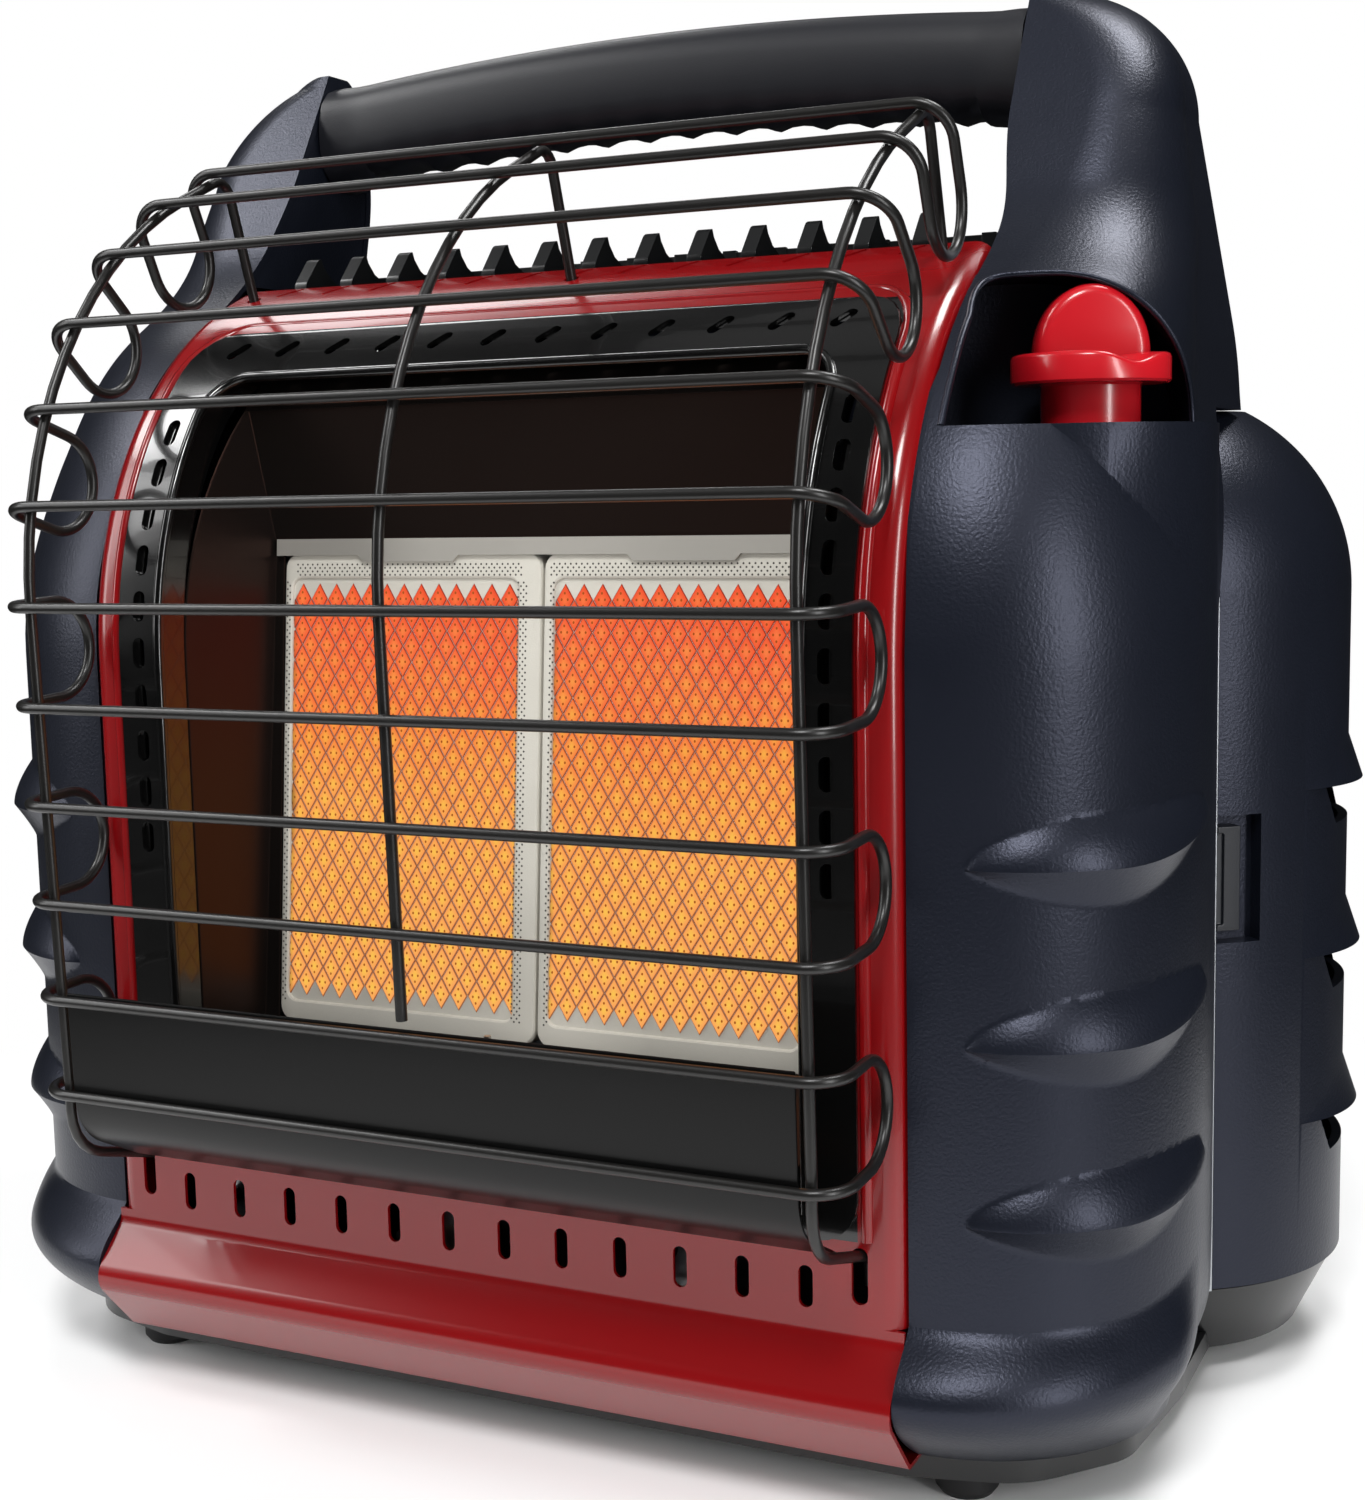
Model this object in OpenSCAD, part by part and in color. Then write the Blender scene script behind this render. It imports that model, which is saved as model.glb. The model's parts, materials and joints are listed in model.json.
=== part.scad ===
// Portable propane heater, tabletop size.
// Frame: X to the right, Y towards the back, Z up. The feet stand on Z = 0.
// The modules are drawn with Y = 0 near the face of the heater, and placed()
// moves them so that the middle of the overall depth is at Y = 0.

/* [Front face] */
// Half the width of the red front panel
panel_half_w = 132.5; // [120:0.5:150]
// Height at which the upright face starts to curve back
face_top_z = 232; // [215:1:245]
// Radius of the curve from the face to the top, at the panel's skin
face_r = 120; // [110:1:135]
// How far the front panel stands out from that radius
panel_proud = 5; // [3:0.5:8]
// Angle through which the red front panel follows the curve
panel_angle = 71.3; // [66:0.1:75]
// Radius of the rolled side edges of the front panel
panel_edge_r = 6; // [3:0.5:9]
// Sheet thickness of the front panel and the bezel
sheet_t = 1.2; // [0.8:0.1:2]
// Half the width of the bezel
bezel_half_w = 120; // [108:0.5:124]
// Half the width of the opening in the bezel
opening_half_w = 105.5; // [98:0.5:110]
// Height of the bezel's bottom edge
bezel_bottom_z = 79; // [76:0.5:86]
// Height of the bezel's top edge
bezel_top_z = 333.4; // [328:0.2:338]
// Width of the bezel's rim at the top and the bottom
bezel_rim = 14.5; // [12:0.5:18]
// Number of slanted slots along the top of the bezel
top_slots = 12; // [6:1:13]
// Number of upright slots down each side of the bezel
side_slots = 10; // [5:1:14]
// Number of air slots in the strip above the toe
toe_slots = 12; // [6:1:12]
// Distance between the air slots above the toe
toe_slot_pitch = 18.95; // [16:0.05:20]

/* [Side panels] */
// Radius of the front corner of the side panels, seen from above
corner_r = 66; // [56:1:72]
// Wall thickness of the moulded side panels and doors
wall = 3; // [2:0.25:4]
// Distance between the ribs of a side panel
rib_pitch = 48; // [44:1:50]
// How far the ribs stand out
rib_h = 6.5; // [3:0.5:9]
// How far the toe stands out at the front
toe_h = 15.5; // [10:0.5:18]

/* [Cylinder bays and doors] */
// Distance of the bay centres from the middle of the heater
bay_x = 157; // [152:0.5:162]
// Distance of the bay centres behind the face
bay_y = 168; // [164:0.5:175]
// Outer radius of a door
door_r = 63; // [60:0.5:66]
// Wall thickness of a door
door_wall = 2.5; // [2:0.25:3]
// Radius of the rounded upper edge of a door
door_edge_r = 40; // [30:1:50]
// Height of the bottom edge of a door
door_bottom_z = 33.5; // [32:0.5:40]
// Height of the top of a door
door_top_z = 302; // [296:1:306]
// Radius of the door hinge pins
hinge_pin_r = 2; // [1.5:0.1:2.5]

/* [Knob] */
// Distance of the knob's axis beyond the side of the front panel
knob_out = 30.5; // [27:0.5:34]
// Distance of the knob's axis behind the face
knob_y = 69; // [64:0.5:74]
// Height of the floor of the knob recess
ledge_z = 299; // [294:0.5:302]
// Radius of the knob's flange
knob_r = 22; // [18:0.5:23.5]
// Width of the knob's grip
blade_w = 32; // [24:0.5:36]
// How far the knob can be pushed down
knob_travel = 3; // [2:0.5:4]
// Radius of the valve stem
stem_r = 4; // [3:0.25:5]

/* [Handle] */
// Height of the middle of the grip at its ends
grip_z = 407.7; // [400:0.5:412]
// How far the grip arches up in its middle
grip_rise = 7; // [3:0.5:10]
// Depth of the grip, front to back
grip_d = 32; // [28:0.5:34]
// Height of the grip's section
grip_h = 34; // [30:0.5:36]
// Number of finger ribs under the grip
grip_ribs = 14; // [6:1:15]
// Radius of the steel bar inside the grip
bar_r = 6; // [4:0.5:7]

/* [Wire guard] */
// Diameter of the guard wire
wire_d = 3.7; // [3:0.1:4.2]
// Distance between the level wires, along the guard
wire_pitch = 29.25; // [26:0.25:30]
// Half the width between the outer uprights
guard_half_w = 120; // [112:0.5:121]
// Radius of the guard where it curves over the top
guard_r = 138; // [125:1:150]
// How far the front of the guard stands before the face
guard_reach = 47.6; // [42:0.2:52]
// How far the ends of the level wires reach back
guard_end = 38; // [30:1:40]

/* [Burners] */
// Angle at which the burner tiles lean back
lean = 5.3; // [3:0.1:8]
// Width of one burner tile
tile_w = 94.6; // [85:0.2:95]
// Height of one burner tile
tile_h = 151.6; // [140:0.2:152]
// Thickness of the burner tiles
tile_t = 13; // [10:0.5:16]
// Outer radius of the mixing tubes
venturi_r = 10.8; // [8:0.1:13]

/* [Fan and batteries] */
// Radius of the fan blades
fan_r = 41; // [34:0.5:43]
// Number of fan blades
fan_blades = 7; // [3:1:9]
// Diameter of one dry cell
cell_d = 34.2; // [33:0.1:35]
// Length of one dry cell
cell_l = 61.5; // [60:0.1:62]

/* [Fits] */
// Gap between pieces of the casing
seam = 0.3; // [0.2:0.05:0.5]
// Gap between a moving piece and its surroundings
run = 0.5; // [0.4:0.05:0.8]
// Radial clearance of shafts and pins in their bores
fit = 0.08; // [0.05:0.01:0.1]

/* [Hidden] */
$fn = 48;
eps = 0.01;

// ---- overall depth, from the guard's front to the battery door
rear_wall_y = 217.5;
battery_door_y = 240;
guard_lean = -2;
guard_front_y = -guard_reach + guard_r * (cos(guard_lean) - 1) - wire_d / 2;
origin_y = (guard_front_y + battery_door_y) / 2;

// ---- the face and what follows it
skin_r = face_r + panel_proud;
bezel_r = skin_r + seam + sheet_t;
edge_y = -2;

// ---- heights of the casing
base_bottom_z = 9;
base_rim_z = 16;
pan_t = 2.5;
over_door_z = door_top_z + 0.8;
bay_floor_z = door_bottom_z - 0.9;
deck_z = bay_floor_z + seam;
grille_top_z = 361;
pillar_half_w = 128;
pillar_back_y = 155;

module placed() {
    translate([0, -origin_y, 0]) children();
}

module both_sides() {
    children();
    mirror([1, 0, 0]) children();
}

// ---- outlines
function unit(v) = v / norm(v);
function flip(p) = [for (i = [len(p) - 1 : -1 : 0]) p[i]];
function arc(c, r, a0, a1, n) =
    [for (i = [0 : n]) c + r * [cos(a0 + (a1 - a0) * i / n), sin(a0 + (a1 - a0) * i / n)]];
function clamp(x, lo, hi) = min(hi, max(lo, x));
function wrap(a) = a > 180 ? a - 360 : a < -180 ? a + 360 : a;

// Round one corner of a path: b is the corner between a and c.
function corner(a, b, c, r, n) =
    let (u = unit(a - b), v = unit(c - b), half = acos(u * v) / 2,
        m = b + unit(u + v) * r / sin(half),
        p = b + u * r / tan(half) - m, q = b + v * r / tan(half) - m,
        a0 = atan2(p.y, p.x), da = wrap(atan2(q.y, q.x) - a0))
    arc(m, r, a0, a0 + da, n);
function rounded_path(p, r, n = 5) = concat([p[0]],
    [for (i = [1 : len(p) - 2]) each corner(p[i - 1], p[i], p[i + 1], r[i - 1], n)],
    [p[len(p) - 1]]);
function beside(p, t) = [for (i = [0 : len(p) - 1])
    let (d0 = unit(i > 0 ? p[i] - p[i - 1] : p[1] - p[0]),
        d1 = i < len(p) - 1 ? unit(p[i + 1] - p[i]) : d0, m = unit(d0 + d1))
    p[i] + [-m.y, m.x] * t / (m * d0)];
function rounded_rect(x0, y0, x1, y1, r, n = 5) = concat(
    arc([x0 + r, y0 + r], r, 180, 270, n), arc([x1 - r, y0 + r], r, 270, 360, n),
    arc([x1 - r, y1 - r], r, 0, 90, n), arc([x0 + r, y1 - r], r, 90, 180, n));

// A bent sheet: a path with thickness t on its left.
module bent(p, t) {
    polygon(concat(p, flip(beside(p, t))));
}

// Turn that takes X, Y and Z to the three given directions.
function turn(x, y, z) = abs(x.z) < 0.99999
    ? [atan2(y.z, z.z), asin(-x.z), atan2(x.y, x.x)]
    : x.z < 0 ? [atan2(y.x, y.y), 90, 0] : [atan2(-y.x, y.y), -90, 0];

// Put children at p with their Z along d.
module aim(p, d) {
    u = unit(d);
    translate(p) rotate([0, acos(clamp(u.z, -1, 1)), atan2(u.y, u.x)]) children();
}

// Round bar along a path of points, with a bend radius for each inner corner.
module pipe(p, bends, r, closed = false) {
    n = len(p);
    m = closed ? n : n - 1;
    dir = [for (i = [0 : m - 1]) unit(p[(i + 1) % n] - p[i])];
    ang = [for (i = [0 : n - 1]) !closed && (i == 0 || i == n - 1) ? 0
        : acos(clamp(dir[(i + m - 1) % m] * dir[i % m], -1, 1))];
    rad = closed ? bends : concat([0], bends, [0]);
    cut = [for (i = [0 : n - 1]) rad[i] * tan(ang[i] / 2)];
    for (i = [0 : m - 1]) {
        k = (i + 1) % n;
        l = norm(p[k] - p[i]) - cut[i] - cut[k];
        if (l > 0.02) aim(p[i] + dir[i] * cut[i], dir[i]) cylinder(h = l, r = r, $fn = 14);
    }
    for (i = [(closed ? 0 : 1) : (closed ? n - 1 : n - 2)]) {
        u = dir[(i + m - 1) % m];
        v = dir[i % m];
        w = unit(v - (v * u) * u);
        translate(p[i] - u * cut[i] + w * rad[i]) rotate(turn(-w, u, cross(-w, u)))
            rotate_extrude(angle = ang[i], $fn = rad[i] > 50 ? 90 : 20)
                translate([rad[i], 0]) circle(r = r, $fn = 14);
    }
}

module slot_shape(l, w) {
    polygon(concat(arc([0, l / 2 - w / 2], w / 2, 0, 180, 8),
        arc([0, -l / 2 + w / 2], w / 2, 180, 360, 8)));
}

// Extrude an outline drawn in X and Z along Y, from y0 to y1.
module along_y(y0, y1) {
    translate([0, y1, 0]) rotate([90, 0, 0]) linear_extrude(height = y1 - y0) children();
}

// Extrude an outline drawn in Y and Z along X, from x0 to x1.
module along_x(x0, x1) {
    translate([x0, 0, 0]) rotate([90, 0, 90]) linear_extrude(height = x1 - x0) children();
}

// ---- the curved face
// Turn an outline of radius and width about the axis of the face's curve.
module face_turn(angle) {
    translate([0, face_r, face_top_z]) rotate([90, 0, -90])
        rotate_extrude(angle = angle, $fn = 96) children();
}

// The same outline drawn down the upright part of the face.
module face_drop(z0) {
    translate([0, face_r, z0]) rotate([0, 0, -90])
        linear_extrude(height = face_top_z - z0) children();
}

module face_band(r_in, r_out, half_w, z0, angle) {
    face_turn(angle) translate([r_in, -half_w]) square([r_out - r_in, 2 * half_w]);
    face_drop(z0) translate([r_in, -half_w]) square([r_out - r_in, 2 * half_w]);
}

// Put a shape, drawn on the face at z = 0 with Y into the face, at a length
// along the face: below zero is down the upright part, above it round the curve.
module on_face(s) {
    if (s <= 0)
        translate([0, 0, face_top_z + s]) children();
    else
        translate([0, face_r, face_top_z]) rotate([-s / bezel_r * 180 / PI, 0, 0])
            translate([0, -face_r, 0]) children();
}

function face_angle(z, r) = asin((z - face_top_z) / r);

// ---- front panel
flange_depth = 20;

function panel_section(t) = let (f = skin_r, w = panel_half_w, e = panel_edge_r)
    concat([[f - flange_depth, -w + t], [f - flange_depth, -w]], arc([f - e, -w + e], e, -90, 0, 5),
        arc([f - e, w - e], e, 0, 90, 5), [[f - flange_depth, w], [f - flange_depth, w - t]],
        arc([f - e, w - e], e - t, 90, 0, 5), arc([f - e, -w + e], e - t, 0, -90, 5));

toe_join_z = 56;
toe_path = rounded_path([[-panel_proud, toe_join_z], [-panel_proud, 52], [-toe_h - 4.5, 37],
    [-1.5, 15.9], [24, 15.9]], [5, 7, 3], 5);

module front_panel() {
    color("#b5161f") placed() difference() {
        union() {
            face_turn(panel_angle) polygon(panel_section(sheet_t));
            face_drop(toe_join_z) polygon(panel_section(sheet_t));
            along_x(-panel_half_w, panel_half_w) bent(toe_path, sheet_t);
            // turned-down rear edge, against the top grille
            translate([-panel_half_w + panel_edge_r, panel_end_y - sheet_t, panel_end_z - 9])
                cube([2 * (panel_half_w - panel_edge_r), sheet_t, 9 - 0.4]);
        }
        along_y(-20, 60) polygon(rounded_rect(-bezel_half_w + 7, bezel_bottom_z + 7,
            bezel_half_w - 7, bezel_top_z - 7, 9));
        for (i = [0 : toe_slots - 1])
            translate([(i - (toe_slots - 1) / 2) * toe_slot_pitch, 0, 65])
                along_y(-10, 5) slot_shape(12, 4.2);
        for (x = [-guard_half_w, guard_half_w])
            translate([x, 0, hook_z]) along_y(-10, 5) slot_shape(16, wire_d + 1);
        for (x = [-guard_half_w, 0, guard_half_w])
            aim([x, foot_pt.x, foot_pt.y], [0, foot_dir.x, foot_dir.y]) translate([0, 0, -10])
                cylinder(h = 20, r = wire_d / 2 + 0.5);
        // slanted press marks along the top edge
        for (i = [0 : 12])
            face_mark((i - 6) * 18.2);
    }
}

panel_end_y = face_r - skin_r * cos(panel_angle);
panel_end_z = face_top_z + skin_r * sin(panel_angle);

// A shallow slanted groove across the rear edge of the front panel.
module face_mark(x) {
    translate([x, face_r, face_top_z]) rotate([-panel_angle + 2.2, 0, 0])
        translate([0, -skin_r - 1.1, 0]) rotate([0, 35, 0]) translate([-1, 0, -5])
            cube([2, 1.6, 10]);
}

// ---- bezel
module bezel_outline(grow) {
    polygon(rounded_rect(-bezel_half_w - grow, bezel_bottom_z - grow,
        bezel_half_w + grow, bezel_top_z + grow, 12 + grow));
}

opening_top_z = bezel_top_z - bezel_rim;
opening_bottom_z = bezel_bottom_z + bezel_rim;
module opening_outline(grow) {
    polygon(rounded_rect(-opening_half_w - grow, opening_bottom_z - grow,
        opening_half_w + grow, opening_top_z + grow, 13 + grow));
}

bezel_flange = 13;
side_slot_pitch = 14.24;
first_side_slot = 74;

module bezel() {
    top_slot_s = face_angle((bezel_top_z + opening_top_z) / 2 + 1.2, bezel_r) * PI / 180 * bezel_r;
    color("#151617") placed() difference() {
        union() {
            intersection() {
                face_band(bezel_r - sheet_t, bezel_r, bezel_half_w, bezel_bottom_z, 58);
                along_y(-20, 60) bezel_outline(0);
            }
            intersection() {
                face_band(bezel_r - bezel_flange, bezel_r - sheet_t / 2, bezel_half_w,
                    bezel_bottom_z, 58);
                along_y(-20, 60) difference() {
                    opening_outline(sheet_t);
                    opening_outline(0);
                }
            }
        }
        along_y(-20, 60) opening_outline(0);
        for (i = [0 : top_slots - 1])
            translate([(i - (top_slots - 1) / 2) * 18.6, 0, 0])
                on_face(top_slot_s) rotate([0, 40, 0]) along_y(-panel_proud - 4, 4)
                    slot_shape(9, 3.6);
        for (i = [0 : side_slots - 1], side = [-1, 1])
            translate([side * (bezel_half_w + opening_half_w - 0.5) / 2, 0, 0])
                on_face(first_side_slot - i * side_slot_pitch) along_y(-panel_proud - 4, 4)
                    slot_shape(9.5, 4.4);
    }
}

// ---- burner chamber
// Foot of the leaning burner plane.
burner_y = 33;
burner_z = 114;
burner_half_w = tile_w + 1;

// Place children on the leaning burner plane: Z up the tiles, Y behind them.
module burner_plane() {
    translate([0, burner_y, burner_z]) rotate([-lean, 0, 0]) children();
}

function burner_pt(y, z) = [burner_y + y * cos(lean) + z * sin(lean),
    burner_z - y * sin(lean) + z * cos(lean)];

box_t = 1;
box_back = 0.4;
function box_side(g) = let (lo = burner_pt(box_back + g, -6), hi = burner_pt(box_back + g, tile_h + 1.5))
    [[-20, opening_bottom_z - g], [6, opening_bottom_z - g], [lo.x, lo.y - g], [hi.x, hi.y],
        [hi.x - 12 + g, opening_top_z + g], [-20, opening_top_z + g]];
function box_plan(g) = [[-opening_half_w - g, -20], [opening_half_w + g, -20],
    [opening_half_w + g, 4], [burner_half_w + 2.5 + g, 52], [burner_half_w + 2.5 + g, 60],
    [-burner_half_w - 2.5 - g, 60], [-burner_half_w - 2.5 - g, 52], [-opening_half_w - g, 4]];

module box_form(g) {
    intersection() {
        linear_extrude(height = 400) polygon(box_plan(g));
        along_x(-150, 150) polygon(box_side(g));
    }
}

module reflector_box() {
    color("#1a1b1d") placed() difference() {
        intersection() {
            difference() {
                box_form(box_t);
                box_form(0);
            }
            face_band(10, bezel_r - bezel_flange - seam, 150, 60, 88);
        }
        burner_plane() translate([-burner_half_w, -5, -2]) cube([2 * burner_half_w, 20, tile_h + 2]);
        // the pilot comes up through the floor
        translate([-13, pilot_y - 5, 60]) cube([32, 11, 55]);
    }
}

module tile_body() {
    t = tile_t;
    translate([0.5, 0.2, -1.8]) {
        along_y(1.2, t) polygon(rounded_rect(0, 0, tile_w, tile_h, 5));
        // raised border round the burning face
        along_y(0, 1.2) difference() {
            polygon(rounded_rect(0, 0, tile_w, tile_h, 5));
            polygon(rounded_rect(8, 7, tile_w - 8, tile_h - 11, 4));
        }
    }
}

module tile_right() {
    color("#e8842c") placed() burner_plane() tile_body();
}
module tile_left() {
    color("#e8842c") placed() mirror([1, 0, 0]) burner_plane() tile_body();
}

// Bright strip that holds the top of both tiles, with a tab over each.
module tile_retainer() {
    top = tile_h - 1.8;
    color("#cfcbc4") placed() burner_plane() along_y(-1.1, -0.1) {
        translate([-burner_half_w - 2, top - 0.8]) square([2 * burner_half_w + 4, 5.3]);
        for (side = [-1, 1]) translate([side * (tile_w / 2 + 0.5), top - 2.8])
            polygon([[-16.5, 0], [16.5, 0], [18.5, 2.1], [-18.5, 2.1]]);
    }
}

// Sheet box behind a tile that spreads the gas over it.
plenum_d = 30;
module plenum_body() {
    back = tile_t + 0.2;
    translate([1.5, back + 0.2, -1]) difference() {
        cube([tile_w - 2, plenum_d, tile_h - 1.6]);
        translate([0.8, -1, 0.8]) cube([tile_w - 3.6, plenum_d + 0.2, tile_h - 3.2]);
        translate([tile_w / 2 - 1, plenum_d / 2, -1]) cylinder(h = 3, r = venturi_r + fit);
    }
}

module plenum_right() {
    color("#8d9196") placed() burner_plane() plenum_body();
}
module plenum_left() {
    color("#8d9196") placed() mirror([1, 0, 0]) burner_plane() plenum_body();
}

// Mixing tube with a flared mouth at its foot.
venturi_y = tile_t + 0.4 + plenum_d / 2;
venturi_x = tile_w / 2 + 0.5;
venturi_bottom = -74;
module venturi_body() {
    r = venturi_r;
    translate([venturi_x, venturi_y, venturi_bottom]) rotate_extrude()
        bent(concat([[r + 5, 0]], arc([r + 5, 9], 7, -110, -180, 5),
            [[r - 2.4, 40], [r - 1.2, 60], [r - 1.2, 84]]), -1.2);
}

module venturi_right() {
    color("#9a9ea2") placed() burner_plane() venturi_body();
}
module venturi_left() {
    color("#9a9ea2") placed() mirror([1, 0, 0]) burner_plane() venturi_body();
}

// ---- gas train
manifold_at = burner_pt(venturi_y, -94);
manifold_r = 3.5;
manifold_bend = 12;
valve_bottom_z = 226;
valve_y_off = knob_y - manifold_at.x;

module gas_manifold() {
    color("#b87333") placed() {
        x1 = knob_x - manifold_bend;
        union() {
            translate([-venturi_x - 12, manifold_at.x, manifold_at.y]) rotate([0, 90, 0])
                cylinder(h = x1 + venturi_x + 12, r = manifold_r);
            translate([x1, manifold_at.x, manifold_at.y + manifold_bend])
                rotate([90, 90, 0]) rotate_extrude(angle = 90)
                    translate([manifold_bend, 0]) circle(r = manifold_r);
            translate([knob_x, manifold_at.x, manifold_at.y + manifold_bend])
                cylinder(h = valve_bottom_z - manifold_at.y - manifold_bend - seam, r = manifold_r);
        }
    }
}

// Brass jets that stand on the manifold and blow into the mixing tubes.
module orifice_jets() {
    color("#c79a3b") placed() both_sides() difference() {
        translate([venturi_x, manifold_at.x, manifold_at.y + manifold_r + 0.1]) {
            cylinder(h = 6, r = 5.5, $fn = 6);
            translate([0, 0, 6]) cylinder(h = 5, r = 3.4);
            translate([0, 0, 11]) cylinder(h = 3, r1 = 3.4, r2 = 1.6);
        }
        translate([venturi_x, manifold_at.x, manifold_at.y + manifold_r - 1])
            cylinder(h = 20, r = 0.7);
    }
}

valve_r = 15;
flange_z = ledge_z - wall - 3.4;
module gas_valve() {
    color("#b9a26a") placed() translate([knob_x, knob_y, 0]) difference() {
        union() {
            translate([0, 0, valve_bottom_z]) cylinder(h = 40, r = valve_r);
            translate([0, 0, valve_bottom_z + 40]) cylinder(h = flange_z - valve_bottom_z - 40, r = 10);
            translate([0, 0, flange_z]) linear_extrude(height = 3)
                polygon(rounded_rect(-14, -24, 14, 24, 6));
            // outlet to the burners, inlet from the cylinders
            translate([0, -valve_y_off, valve_bottom_z]) cylinder(h = 10, r = 6.5);
            translate([-valve_r - 5, 0, valve_inlet_z]) rotate([0, 90, 0]) cylinder(h = 12, r = 6.5);
        }
        translate([0, 0, valve_bottom_z + 8]) cylinder(h = 80, r = stem_r + fit);
    }
}

module valve_stem() {
    color("#c9a227") placed() translate([knob_x, knob_y, valve_bottom_z + 10])
        cylinder(h = ledge_z + 22 - knob_travel - valve_bottom_z - 10, r = stem_r);
}

// Return spring under the knob, one solid of its outer shape with end coils.
module knob_spring() {
    spring_in = stem_r + 0.8;
    color("#c8c8c8") placed() translate([knob_x, knob_y, ledge_z + seam]) {
        n = 5;
        for (i = [0 : n - 1]) translate([0, 0, 0.5 + i * 1.05]) rotate_extrude()
            translate([spring_in + 0.5, 0]) circle(r = 0.5);
    }
}

// ---- knob
knob_gap = 1 + knob_travel;
neck_top = 8.6 - knob_gap;
blade_top = 36;
view_turn = 25;
knob_x = panel_half_w + knob_out;
module control_knob() {
    color("#b5161f") placed() translate([knob_x, knob_y, ledge_z + knob_gap]) rotate([0, 0, view_turn])
        difference() {
            union() {
                cylinder(h = neck_top + 1, r = 13.6);
                // flange with a top that dips in the middle
                difference() {
                    translate([0, 0, neck_top]) cylinder(h = 8.5, r = knob_r);
                    translate([0, 0, neck_top + 22.3]) rotate([90, 0, 0])
                        cylinder(h = 60, r = 17.8, center = true);
                }
                // upright grip: half a disc with a slight crown
                intersection() {
                    translate([0, 0, blade_top - knob_gap - blade_w / 2]) rotate([90, 0, 0])
                        cylinder(h = 40, r = blade_w / 2, center = true, $fn = 96);
                    translate([-blade_w, -6.5, neck_top + 1]) cube([2 * blade_w, 13, 60]);
                }
                translate([-blade_w / 2, -6.5, neck_top + 1])
                    cube([blade_w, 13, blade_top - knob_gap - blade_w / 2 - neck_top - 1]);
            }
            translate([0, 0, -1]) cylinder(h = 20, r = stem_r + fit);
            translate([0, 0, -1]) cylinder(h = neck_top - 1, r = stem_r + 3.5);
        }
}

// Spark igniter on an arm beside the valve.
module spark_igniter() {
    color("#2b2d31") placed() translate([knob_x, knob_y, valve_bottom_z + 6]) rotate([0, 0, -120])
        translate([valve_r + 14, 0, 0]) {
            cylinder(h = 34, r = 7);
            translate([0, 0, 34]) cylinder(h = 10, r = 4);
            translate([-14 + seam, -3, 8]) cube([14 - seam, 6, 10]);
        }
}

// ---- side panels
function smooth(a, b, x) = let (t = min(1, max(0, (x - a) / (b - a)))) t * t * (3 - 2 * t);
function mix(a, b, t) = a + (b - a) * t;

// Front edge of the side panel, along the front panel and then up the pillar.
pillar_lean = 0.58;
function face_edge_y(z) = z <= face_top_z ? edge_y
    : face_r - sqrt(max(0, pow(face_r - edge_y, 2) - pow(z - face_top_z, 2)));
function pillar_edge_y(z) = 82 + (z - 345.5) * pillar_lean;
function soft_min(a, b, k) = let (h = max(k - abs(a - b), 0) / k) min(a, b) - h * h * k / 4;
function front_y(z) = z < 300 ? face_edge_y(z)
    : z > 353 ? pillar_edge_y(z) : soft_min(face_edge_y(z), pillar_edge_y(z), 9);

// Outer half width at the front corner, the corner's radius and the rear half width.
full_half_w = panel_half_w + corner_r;
pillar_top_z = 430;
round_top = 40;
function top_round(z) = let (d = z - (pillar_top_z - round_top))
    d <= 0 ? 0 : round_top - sqrt(max(0, round_top * round_top - d * d));
function corner_x(z) = full_half_w - 13.5 * smooth(262, 345, z) - 0.235 * clamp(z - 345, 0, 45)
    - top_round(z);
function corner_rad(z) = min(corner_r - 4 * smooth(250, 285, z) - 14 * smooth(285, 340, z)
    - 26 * smooth(335, 378, z), corner_x(z) - pillar_half_w - 2);
function rear_x(z) = mix(full_half_w - 8.5, corner_x(z), smooth(240, 335, z));
function rear_y(z) = z > 380 ? pillar_back_y - 0.35 * top_round(z) : mix(115, pillar_back_y, smooth(270, 300, z));
function inner_x(z) = mix(panel_half_w, pillar_half_w, smooth(351.4, 359, z));

// Low down the plan shrinks to the base.
function low_in(z) = 11 * (1 - smooth(base_rim_z, 52, z));

// The toe that runs round the corner from the front panel.
function toe_bump(a, z) = let (u = z > 36 ? (z - 36) / 21 : (36 - z) / 20)
    u >= 1 ? 0 : mix(toe_h + 3, 7, smooth(-95, 0, a)) * (1 - smooth(-26, -2, a))
        * pow(cos(90 * u), z > 36 ? 1.3 : 0.8);

// Ribs: lenses with a ridge, pointed at the front, that rise towards the seam.
rib_z = 86;
rib_s0 = 16;
rib_s1 = 98;
function rib_lens(s) = s <= rib_s0 || s >= rib_s1 ? 0 : sin(180 * (s - rib_s0) / (rib_s1 - rib_s0));
function rib_lift(s) = 10 * pow(clamp((s - 55) / 40, 0, 1), 1.8) * (1 - smooth(100, 150, s));
function rib_bump(s, z) = let (k = round((z - rib_z) / rib_pitch), dz = z - rib_z - k * rib_pitch, f = rib_lens(s))
    k < 0 || k > 2 || f == 0 ? 0 : let (u = dz > 0 ? dz / 13.8 / pow(f, 0.55) : -dz / 11.2 / pow(f, 0.8))
    u >= 1 ? 0 : rib_h * pow(f, 0.6) * (dz > 0 ? 1 - pow(u, 1.6) : pow(1 - u, 1.2));

flank_a = 10.8;
arc_steps = 15;
flank_steps = 3;
plan_n = arc_steps + flank_steps + 3;

// Corner of the plan at height z: its centre and radius.
function plan_corner(z) = let (r = corner_rad(z) - low_in(z))
    [corner_x(z) - low_in(z) - r, front_y(z) + low_in(z) + r, r];
// Rear end of the plan at height z.
function plan_back(z, g) = let (c = plan_corner(z)) [min(rear_x(z) - low_in(z), c.x + c.z) - g, rear_y(z) - g];
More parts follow.
